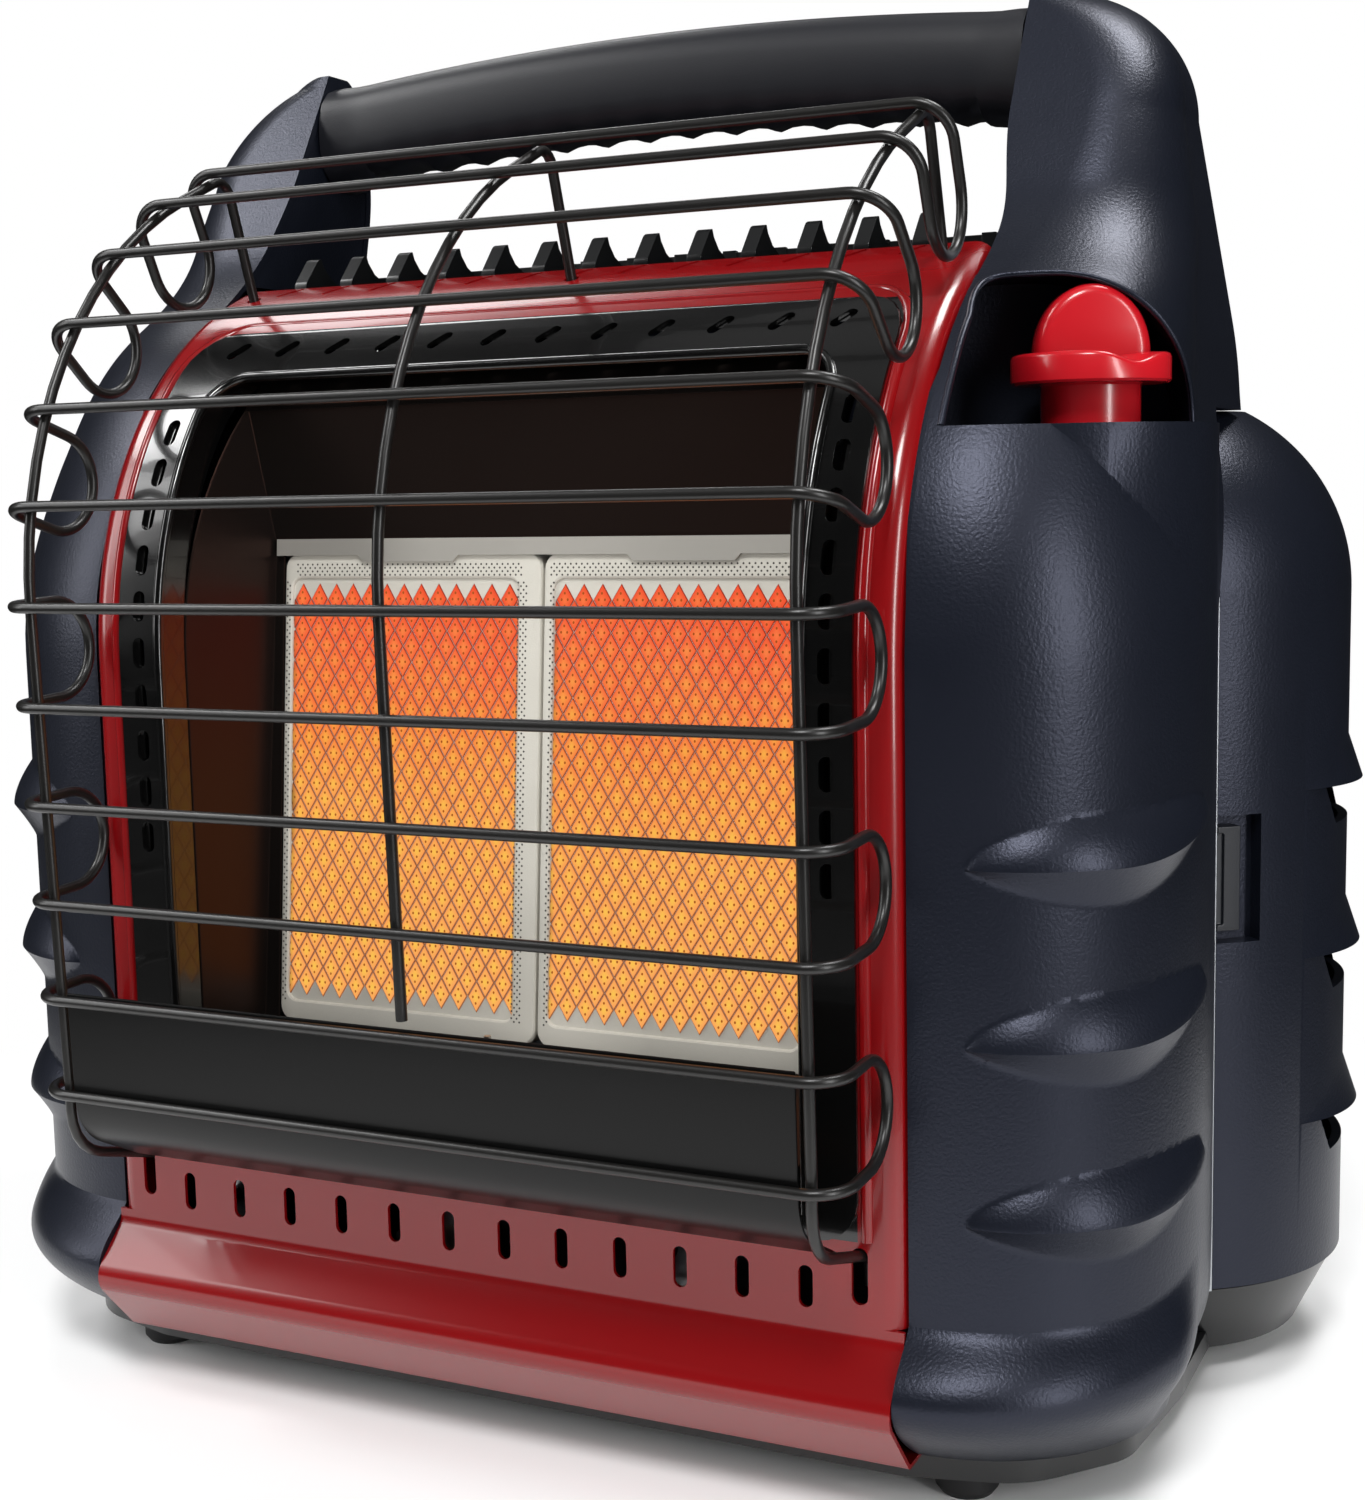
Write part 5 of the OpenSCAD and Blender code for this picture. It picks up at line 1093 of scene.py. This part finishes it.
@dataclass
class SidePanels(Moulding):
    """The two moulded side panels, with corner, toe, ribs, pillar and knob recess."""

    node = "side_panel"
    prefix = "moulded"
    smooth = 28.0

    half_w: float = 132.5
    corner_r: float = 66.0
    edge_y: float = -2.0
    wall: float = 3.0
    face_end: float = 340.0  # height up to which the face's curve is followed, and its slope above
    face_slope: float = 1.9
    shoulder_z: float = 300.0  # where the pillar starts
    shoulder_in: tuple[float, float, float] = (10.5, 236.0, 310.0)  # how far, and between which heights
    side_lean: float = 0.18
    side_bend: float = 30.0  # height over which the lean sets in
    corner_cuts: tuple[tuple[float, float, float], ...] = ((6, 240, 300), (12, 285, 350), (26, 312, 402))
    pillar_foot: tuple[float, float] = (82.0, 345.5)  # Y and Z of a point on the pillar's front
    pillar_lean: float = 0.58
    pillar_half_w: float = 128.0
    pillar_in: tuple[float, float] = (351.4, 392.0)  # heights between which it gets that half width
    pillar_back: float = 155.0
    back_y: float = 115.0  # rear end below the pillar
    rear_in: float = 8.5
    blend: float = 22.0
    top_z: float = 430.0
    round_top: float = 40.0
    flank: float = 10.8  # turn of the flank, in degrees
    gap: float = 0.3  # between the panel and the front panel
    base_in: tuple[float, float, float] = (11.0, 16.0, 52.0)  # how far, and between which heights
    toe: tuple[float, float] = (18.5, 7.0)  # how far it stands out in front and at the side
    toe_z: float = 36.0
    toe_reach: tuple[float, float] = (21.0, 20.0)  # above and below
    rib_h: float = 6.5
    rib_z: float = 86.0
    rib_pitch: float = 48.0
    rib_span: tuple[float, float] = (16.0, 98.0)  # lengths round the corner of its ends
    rib_reach: tuple[float, float] = (13.8, 11.2)  # above and below
    rib_rise: float = 10.0  # how far the ribs' rear ends rise
    ledge: float = 296.4
    bulge_at: tuple[float, float] = (156.0, 68.0)  # axis of the valve's bulge
    bulge_r: float = 42.0
    arc_steps: int = 132

    def face_edge(self, z: np.ndarray) -> np.ndarray:
        """Y of the front edge along the front panel at heights z."""
        curve = FACE_R - np.sqrt(np.clip((FACE_R - self.edge_y) ** 2 - (z - FACE_TOP) ** 2, 0, None))
        return np.where(z <= FACE_TOP, self.edge_y, curve)

    def front(self, z: np.ndarray) -> np.ndarray:
        """Y of the front edge at heights z, along the front panel and up the pillar."""
        above = np.clip(z - self.face_end, 0, None)
        face = self.face_edge(np.minimum(z, self.face_end)) + self.face_slope * above
        pillar = self.pillar_foot[0] + (z - self.pillar_foot[1]) * self.pillar_lean
        h = np.clip(self.blend - np.abs(face - pillar), 0, None) / self.blend
        return np.where(z < self.shoulder_z, face, np.minimum(face, pillar) - h * h * self.blend / 4)

    def top(self, z: np.ndarray) -> np.ndarray:
        """How far the rounded top of the pillar is drawn in at heights z."""
        d = np.clip(z - (self.top_z - self.round_top), 0, None)
        return self.round_top - np.sqrt(np.clip(self.round_top**2 - d * d, 0, None))

    def corner_x(self, z: np.ndarray) -> np.ndarray:
        """Outer half width at the front corner at heights z."""
        near = np.clip(z - self.shoulder_z, 0, self.side_bend)
        lean = near * near / (2 * self.side_bend) + np.clip(z - (self.shoulder_z + self.side_bend), 0, 60)
        drawn, low, high = self.shoulder_in
        return self.half_w + self.corner_r - drawn * ease(low, high, z) - self.side_lean * lean - self.top(z)

    def low_in(self, z: np.ndarray) -> np.ndarray:
        """How far the plan is drawn in near the base at heights z."""
        drawn, low, high = self.base_in
        return drawn * (1 - ease(low, high, z))

    def toe_out(self, a: float, z: np.ndarray) -> np.ndarray:
        """How far the toe stands out at angle a of the corner and heights z."""
        (front, side), (above, below), dz = self.toe, self.toe_reach, z - self.toe_z
        u = np.where(dz > 0, dz / above, -dz / below)
        size = front + (side - front) * ease(-95, 0, a)
        shape = np.cos(np.radians(90 * np.clip(u, 0, 1))) ** np.where(dz > 0, 1.3, 0.8)
        return np.where(u < 1, size * (1 - ease(-26, -2, a)) * shape, 0.0)

    def rib(self, s: float, z: np.ndarray) -> np.ndarray:
        """How far a rib stands out at length s round the corner and heights z."""
        (first, last), (above, below) = self.rib_span, self.rib_reach
        if not first < s < last:
            return np.zeros_like(z)
        f = math.sin(math.pi * (s - first) / (last - first))
        k = np.clip(np.round((z - self.rib_z) / self.rib_pitch), 0, 2)
        dz = z - self.rib_z - k * self.rib_pitch
        u = np.where(dz > 0, dz / above / f**0.55, -dz / below / f**0.8)
        shape = np.where(dz > 0, 1 - np.clip(u, 0, 1) ** 1.6, np.clip(1 - u, 0, 1) ** 1.2)
        return np.where(u < 1, self.rib_h * f**0.6 * shape, 0.0)

    def lift(self, s: float, z: np.ndarray) -> np.ndarray:
        """How far the rows of points rise at length s round the corner."""
        rise = self.rib_rise * min(max((s - 55) / 40, 0.0), 1.0) ** 1.8 * (1 - ease(100, 150, s))
        return rise * ease(20, 34, z) * (1 - ease(200, 240, z))

    def corner(self, z: np.ndarray) -> tuple[np.ndarray, np.ndarray, np.ndarray]:
        """Centre and radius of the corner at heights z."""
        r = self.corner_r
        for drawn, low, high in self.corner_cuts:
            r = r - drawn * ease(low, high, z)
        r = np.minimum(r, self.corner_x(z) - self.pillar_half_w - 2) - self.low_in(z)
        return self.corner_x(z) - self.low_in(z) - r, self.front(z) + self.low_in(z) + r, r

    def back(self, z: np.ndarray, g: float) -> tuple[np.ndarray, np.ndarray]:
        """Rear end of the plan at heights z, drawn in by g."""
        cx, _, r = self.corner(z)
        up = ease(240, 310, z)
        rear_x = (self.half_w + self.corner_r - self.rear_in) * (1 - up) + self.corner_x(z) * up
        low = self.back_y + (self.pillar_back - self.back_y) * ease(270, 300, z)
        rear_y = np.where(z > 380, self.pillar_back - 0.35 * self.top(z), low)
        return np.minimum(rear_x - self.low_in(z), cx + r) - g, rear_y - g

    def block(self, name: str, z: np.ndarray, g: float, dressed: float, inward: float) -> Object:
        """Make a closed solid from the plans at many heights.

        Args:
            name: The object's name.
            z: The heights.
            g: How far the plan is drawn in.
            dressed: 1 with toe and ribs, 0 without.
            inward: How far the end of the plan goes on towards the middle.

        Returns:
            The solid.
        """
        x0 = self.half_w + (self.pillar_half_w - self.half_w) * ease(*self.pillar_in, z) + self.gap - inward
        columns = [(x0, self.front(z) + self.low_in(z) + g - dressed * self.toe_out(-90, z), z)]
        turn = 90 + self.flank
        for i in range(1, self.arc_steps + 1):
            a = -90 + turn * i / self.arc_steps
            s = self.corner_r * math.radians(a + 90)
            t = dressed * self.lift(s, z)
            cx, cy, r = self.corner(z + t)
            q = r - g + dressed * (self.toe_out(a, z) + self.rib(s, z))
            columns.append((cx + q * math.cos(math.radians(a)), cy + q * math.sin(math.radians(a)), z + t))
        c, n = math.cos(math.radians(self.flank)), math.sin(math.radians(self.flank))
        for u in (i / 8.5 for i in range(1, 9)):
            t = dressed * self.lift(self.corner_r * math.radians(turn) + 36 * u, z)
            cx, cy, r = self.corner(z + t)
            bx, by = self.back(z + t, g)
            x, y = (cx + (r - g) * c) * (1 - u) + bx * u, (cy + (r - g) * n) * (1 - u) + by * u
            columns.append((x, y, z + t))
        bx, by = self.back(z, g)
        columns += [(bx, by, z), (x0, by, z)]
        return solid(name, list(np.stack([np.stack(column, 1) for column in columns], 1)))

    def heights(self) -> np.ndarray:
        """Heights of the rows, close together where the toe and the ribs are."""
        near = (*np.arange(-24, 0, 1.0), -0.4, 0.0, 0.4, *np.arange(1.0, 24, 1.0))
        rows = [self.rib_z + self.rib_pitch * k + d for k in range(3) for d in near]
        for low, high, step in ((16.2, 61.5, 1.2), (208, 250, 6), (250, 300, 2.5), (300, 392, 2.0),
                                (392, 424, 1.0), (424, 429.9, 0.45)):
            rows += [*np.arange(low, high, step)]
        return np.unique(np.round(rows, 3))

    def arch(self, g: float) -> list[tuple[float, float]]:
        """Outline of the knob's recess from right to left, grown by g.

        The right half is round; the left half rises steeply to a soft shoulder.

        Args:
            g: How far it is grown.

        Returns:
            X from the knob's axis, and height, of each point.
        """
        mid, wide, steep, high = -11.5, 40.0 + g, 25.5 + g, 41.7 + g
        quarter = np.radians(np.linspace(0, 90, 30))
        points = [(mid + wide * math.cos(t), high * math.sin(t)) for t in quarter]
        for t in np.radians(np.linspace(89, 0, 34)):
            x, z = mid - steep * math.cos(t) ** 0.35, high * math.sin(t) ** 0.8
            points.append((x - 0.28 * max(0.0, 30.0 - z), z))
        return [(x, self.ledge + z) for x, z in points]

    def recess(self, g: float) -> Object:
        """Make the arched recess for the knob, grown by g."""
        arch = [*self.arch(g), (-45.0 - g, self.ledge - g), (28.5 + g, self.ledge - g)]
        return solid("recess", [at_knob([(x, y, z) for x, z in arch]) for y in (-75.0, 27.0 + g)])

    def valve_bulge(self) -> Object:
        """Make the bulge that covers the valve, open below."""
        low, top = 226.0, self.ledge
        bulge = pin("bulge", low, top, self.bulge_r, self.bulge_at)
        inside = pin("bulge_in", low - 6, top - self.wall, self.bulge_r - self.wall, self.bulge_at)
        combine(Change.CUT, bulge, inside)
        return combine(Change.MEET, bulge, box_solid("bulge_room", (140, 0, 220), (220, 87, 311)))

    def shape(self, right: bool) -> Object:
        """Make one side panel.

        Args:
            right: Whether it has the knob's recess and the valve's bulge.

        Returns:
            The panel, drawn on the right.
        """
        rows = self.heights()
        inner = rows[(rows > 20) & (rows < 423)][::3]
        low_rows, high_rows = np.array([10.0, *inner, 424.0]), np.array([16.5, *inner, 427.0])
        seam = (SEAM_TURN, BAY)
        shell = self.block("side_panel", rows, 0.0, 1.0, 0.0)
        combine(Change.CUT, shell, self.block("hollow", low_rows, self.wall, 0.0, 6.0),
                box_solid("open_back", (105, 100, -1), (182, 170, DECK_Z + 0.6)))
        core = self.block("core", high_rows, self.wall / 2, 0.0, -0.4)
        seam_wall = box_solid("seam_wall", (-100, -3.3, -1), (100, 100, 305.8), *seam)
        combine(Change.MEET, seam_wall, box_solid("seam_room", (110, 60, -1), (230, 180, 400)))
        if right:
            combine(Change.JOIN, shell, self.valve_bulge())
        for wall in (seam_wall, box_solid("pillar_wall", (110, 50, 353), (136, 200, 422))):
            combine(Change.MEET, wall, core, keep=True)
            combine(Change.JOIN, shell, wall)
        bpy.data.objects.remove(core)
        if right:
            room = self.block("pocket_room", high_rows, self.wall / 2, 0.0, 30.0)
            combine(Change.JOIN, shell, combine(Change.MEET, self.recess(self.wall), room))
            combine(Change.CUT, shell, self.recess(0.0), pin("neck_hole", 279, 309, 14.8, KNOB_AXIS))
        return combine(
            Change.CUT, shell, turned_solid("bay", dome(-6.5, 0.5), BAY, 160),
            box_solid("door_side", (-100, -0.12, -10), (100, 100, DECK_Z + 0.12), *seam),
            box_solid("notch", (56.5, -13.25, 143), (76.5, -6.25, 180), SEAM_TURN + 6.6, BAY),
        )

    def beads(self, right: bool) -> list[Mesh]:
        """Round off the mouth of the knob's recess, where there is one.

        Args:
            right: Whether the panel has the recess.

        Returns:
            The bead that follows the mouth on the panel's skin.
        """
        if not right:
            return []
        skin = self.block("skin", self.heights(), 0.0, 1.0, 0.0)
        tree = BVHTree.FromObject(skin, bpy.context.evaluated_depsgraph_get())
        bpy.data.objects.remove(skin)
        away = Vector(spun([(0, -1, 0)], KNOB_TURN, (0, 0))[0])
        path = []
        for spot in at_knob([(x, 0, z) for x, z in self.arch(0.5)]) - (0, FACE_Y, 0):
            hit = tree.ray_cast(Vector(spot) * MM + away * 0.2, -away)[0]
            if hit:
                path.append(hit - away * 0.0005)
        return [Bead().along("rim", path, 1.0, NAVY_ABS)]


@dataclass
class Doors(Moulding):
    """The two doors over the gas cylinders, with hooded vents and hinge knuckles."""

    node = "door"
    prefix = "domed"
    smooth = 30.0

    wall: float = 3.0
    bottom: float = 33.5
    latch_turn: float = -51.4
    hood_r: float = 50.0
    hood_out: float = 4.5
    hood_turn: float = 8.0
    vents: tuple[float, ...] = (81.5, 134.0, 186.5)
    hinges: tuple[float, ...] = (64.0, 226.0)
    knuckle_h: float = 20.0
    hinge_out: float = 3.6  # from the door's skin to the hinge's axis

    def cone(self, name: str, low: float, high: float, r_low: float, r_high: float) -> Object:
        """Make a cone about the axis of the hoods."""
        axis = spun([(DOOR_R - self.hood_r + self.hood_out, 0, 0)], self.hood_turn, BAY)[0]
        return pin(name, low, high, r_low, axis, 128, r_high)

    def knuckle(self, z: float, turn: float, axis: Sequence[float]) -> Object:
        """Make a hinge knuckle.

        Args:
            z: Its lowest height.
            turn: Turn of the hinge about the bay.
            axis: X and Y of the hinge.

        Returns:
            The knuckle.
        """
        top = z + self.knuckle_h
        barrel = pin("knuckle", z, top, 3.3, axis, 40)
        combine(Change.JOIN, barrel, box_solid("leaf", (-4.8, -9.0, z), (0.4, -0.3, top), turn, axis))
        return combine(Change.CUT, barrel, pin("pin_hole", z - 1, top + 1, 2.08, axis, 32))

    def shape(self, right: bool) -> Object:
        """Make one door.

        Args:
            right: Which side it is for; both doors are drawn alike.

        Returns:
            The door, drawn on the right.
        """
        r, r_high = self.hood_r, self.hood_r - self.hood_out
        door = turned_solid("door", dome(self.bottom, 0.0), BAY, 160)
        combine(Change.JOIN, door, *(self.cone("hood", z, z + 13.5, r, r_high) for z in self.vents))
        room = turned_solid("room", dome(0.0, -self.wall), BAY, 160)
        latch = (self.latch_turn, BAY)
        combine(Change.CUT, room, box_solid("latch_wall", (54, -20, 139), (74, 9.75, 184), *latch))
        combine(Change.CUT, door, room)
        for z in self.vents:
            hollow = self.cone("hood_room", z - 0.01, z + 13.49, r - 2, r_high - 2)
            combine(Change.CUT, door, hollow, self.cone("mouth", z - 12.5, z + 0.5, r - 3.2, r - 2))
        combine(Change.MEET, door, box_solid("half", (-100, 0.05, -10), (100, 120, 390), SEAM_TURN, BAY))
        turn = SEAM_TURN + 180
        axis = spun([(DOOR_R + self.hinge_out, 0, 0)], turn, BAY)[0]
        combine(Change.JOIN, door, *(self.knuckle(z, turn, axis) for z in self.hinges))
        combine(Change.CUT, door, box_solid("pocket", (56.5, -20, 142), (76.5, 7.25, 181), *latch))
        for z in self.hinges:
            gap = (z + self.knuckle_h, z + 41)
            combine(Change.CUT, door, box_solid("gap", (-6, -12, gap[0]), (8, 12, gap[1]), turn, axis))
        return door


# ------------------------------ Knob ------------------------------


@dataclass
class Knob:
    """The red control knob: a neck, a waved flange and an upright grip."""

    neck: tuple[float, float] = (13.8, 291.0)  # radius and lowest height
    flange: tuple[float, float, float] = (22.0, 307.9, 316.2)  # radius, lowest and highest height
    grip: tuple[float, float, float] = (16.0, 6.4, 335.3)  # half width, half thickness and top
    grip_z: float = 316.0  # middle of the grip's round
    bore_r: float = 7.6

    def disc(self) -> Object:
        """Make the neck and the flange, whose top dips beside the grip."""
        a = np.linspace(0, 2 * math.pi, 96, endpoint=False)
        (r0, low, high), (neck, foot) = self.flange, self.neck
        x, y = np.cos(a), np.sin(a)
        top = high - 3.0 * np.exp(-(((22 * x + 9 * np.sign(y)) / 6.5) ** 2)) * (np.abs(y) > 0.02)
        rows = [(AXIS_GAP, foot), (neck, foot), (neck, low - 0.6), (neck + 0.6, low), (r0 - 0.7, low),
                (r0, low + 0.7), (r0, top - 1.3), (r0 - 0.4, top - 0.4), (r0 - 1.3, top),
                (r0 - 6, top + 0.2), (AXIS_GAP, top + 0.2)]
        one = np.ones_like(x)
        return solid("knob", [at_knob(np.stack([r * x, r * y, z * one], 1)) for r, z in rows])

    def blade(self) -> Object:
        """Make the upright grip with its rounded edges."""
        half, thick, top = self.grip
        low = self.flange[1] + 1
        t = math.pi * np.linspace(0, 1, 41)
        arc = np.stack([half * np.cos(t), self.grip_z + (top - self.grip_z) * np.sin(t)], 1)
        outline = np.concatenate([[(half, low)], arc, [(-half, low)]])
        centre = np.array([0.0, self.grip_z])
        away = outline - centre
        size = np.maximum(np.linalg.norm(away, axis=1, keepdims=True), 4)
        edge = ((-1.0, 3.4), (-0.96, 2.2), (-0.86, 1.1), (-0.68, 0.35), (-0.4, 0.0))
        rings = []
        for y, shrink in (*edge, *((-y, shrink) for y, shrink in edge[::-1])):
            ring = centre + away * (1 - shrink / size)
            ring[:, 1] = np.maximum(ring[:, 1], low)
            rings.append(at_knob(np.insert(ring, 1, y * thick, axis=1)))
        return solid("blade", rings)

    def build(self) -> set[str]:
        """Make the knob, and return the CAD node that it stands for."""
        knob = combine(Change.JOIN, self.disc(), self.blade())
        combine(Change.CUT, knob, pin("bore", 280, 306, self.bore_r, KNOB_AXIS, 48))
        knob.name = "waved_control_knob"
        smooth_by_angle(knob.data, 44)
        KNOB_RED.dress(knob)
        stand_for(knob, "control_knob")
        return {"control_knob"}


# ------------------------------ Pieces that keep the CAD shape ------------------------------


@dataclass(frozen=True)
class Edging:
    """The rolled edge of an arched sheet."""

    half_w: float
    top: float
    corner: float  # radius of the arch's corners
    foot: float  # height of the arch's feet
    radius: float
    beside: float  # how far from the arch the sheet is felt for its depth
    sunk: float  # how deep the middle of the edge lies under the sheet's skin

    def arch(self, grow: float) -> np.ndarray:
        """Points of the arch from foot to foot, larger by grow."""
        half = self.half_w + grow
        ring = rounded_rect(-half, self.foot - 50, half, self.top + grow, self.corner + grow, 10)[:22]
        right = [(ring[0][0], z) for z in np.linspace(self.foot, ring[0][1], 60)[:-1]]
        over = [(x, ring[10][1]) for x in np.linspace(ring[10][0], ring[11][0], 20)[1:-1]]
        left = [(ring[21][0], z) for z in np.linspace(ring[21][1], self.foot, 60)[1:]]
        return np.array([*right, *ring[:11], *over, *ring[11:], *left])

    def mesh(self, node: str, finish: Finish) -> Mesh:
        """Lay the rolled edge on the skin of a CAD node.

        Args:
            node: The CAD node.
            finish: Finish of the edge.

        Returns:
            The edge's mesh.
        """
        tree = BVHTree.FromObject(frame["nodes"][node], bpy.context.evaluated_depsgraph_get())
        path = []
        for (x, z), (felt_x, felt_z) in zip(self.arch(0.0), self.arch(self.beside)):
            hit = tree.ray_cast(Vector((felt_x * MM, -0.3, felt_z * MM)), Vector((0, 1, 0)))[0]
            if hit and hit.y < 0.02:
                path.append((x * MM, hit.y + self.sunk * MM, z * MM))
        return Bead().along(f"{node}_edge", path, self.radius, finish, 12)


@dataclass
class PlainPieces:
    """Pieces that keep the CAD shape, joined and shaded smooth."""

    done: set[str]  # nodes that other classes stand for
    angle: float = 32.0  # largest angle that looks smooth
    wire_in: float = 0.25  # how far the skin of the guard's wires is drawn in
    rounding: dict[str, float] = field(default_factory=lambda: {
        "bezel": 0.5, "front_panel": 0.8, "guard_plate": 0.6, "reflector_box": 0.5,
        "top_grille": 1.5, "door_latch_right": 0.5, "door_latch_left": 0.5,
    })
    edging: dict[str, Edging] = field(default_factory=lambda: {
        "bezel": Edging(105.2, 318.7, 12.0, 86.0, 1.6, 1.5, 0.3),
        "front_panel": Edging(122.2, 335.6, 16.0, 80.0, 1.8, 1.4, 0.4),
    })

    def behind_fins(self) -> Object:
        """Make the room behind the curled tips of the grille's fins."""
        low_y = min(v.co.y for v in frame["nodes"]["top_grille"].data.vertices) / MM + FACE_Y
        curl = ((9.5, 363.0), (11.5, 358.6), (15.0, 355.2), (20.0, 353.0), (27.0, 352.0))
        side = [*((low_y + y, z) for y, z in curl), (149.4, 352.0), (149.4, 363.0)]
        return solid("room", [np.array([(x, y, z) for y, z in side]) for x in (-127.0, 127.0)])

    def cove(self) -> Mesh:
        """Make the lip that leads the chamber's back up to the bezel's flange."""
        rise = np.linspace(308.6, 319.2, 8)
        ring = []
        for r, z in [(113.1, z) for z in rise] + [(112.3, z) for z in rise[::-1]]:
            y = FACE_R - math.sqrt(r * r - (z - FACE_TOP) ** 2)
            ring.append((106.4 - 0.155 * (y - 4.0), y, z))
        lip = solid("cove", [np.array(ring) * (-1.0, 1.0, 1.0), np.array(ring)])
        mesh = lip.data
        bpy.data.objects.remove(lip)
        mesh.materials.append(CHAMBER_BLACK.material())
        return mesh

    def blacken(self, obj: Object) -> None:
        """Coat the part of the front panel that lies behind the bezel black."""
        half, low, high = (v * MM for v in (119.5, 79.5, 333.0))
        with editing(obj.data) as work:
            for x, z in ((half, 0), (-half, 0), (0, low), (0, high)):
                split(work, (x, 0, z), (1, 0, 0) if x else (0, 0, 1))
            for face in work.faces:
                spot = face.calc_center_median()
                face.material_index = int(abs(spot.x) < half and low < spot.z < high)
        obj.data.materials.append(BLACK_ENAMEL.material())

    def thin(self, obj: Object) -> None:
        """Draw the skin of the guard's wires in a little."""
        for vert, away in zip(obj.data.vertices, [Vector(v.normal) for v in obj.data.vertices]):
            vert.co -= away * self.wire_in * MM

    def build(self) -> None:
        """Make one piece of each node that is left."""
        for node in sorted(set(frame["nodes"]) - self.done):
            obj = merged_copy(node, f"p_{node}", self.angle)
            finish = FINISH_OF_NODE.get(node) or FINISH_OF_SLOT[SLOT_OF[node]]
            extra = [self.edging[node].mesh(node, finish)] if node in self.edging else []
            if node == "top_grille":
                combine(Change.CUT, obj, self.behind_fins())
            if node == "front_panel":
                combine(Change.CUT, obj, SidePanels().recess(1.0))
            if node in self.rounding:
                ease_edges(obj, self.rounding[node])
            finish.dress(obj)
            if node == "front_panel":
                self.blacken(obj)
            if node == "reflector_box":
                extra.append(self.cove())
            if node.startswith("guard_") and node != "guard_plate":
                self.thin(obj)
            join_mesh(obj, extra)
            if node in self.rounding:
                obj.modifiers.new("even shading", "WEIGHTED_NORMAL").keep_sharp = True
                plain_mesh(obj)
            stand_for(obj, node)


def main() -> None:
    """Build the studio and every piece of the heater."""
    Studio().build()
    done: set[str] = set()
    for part in (BurnerTiles(), SidePanels(), Doors(), Knob()):
        done |= part.build()
    PlainPieces(done).build()


if __name__ == "__main__":
    logging.basicConfig(level=logging.INFO, format="%(message)s")
    main()
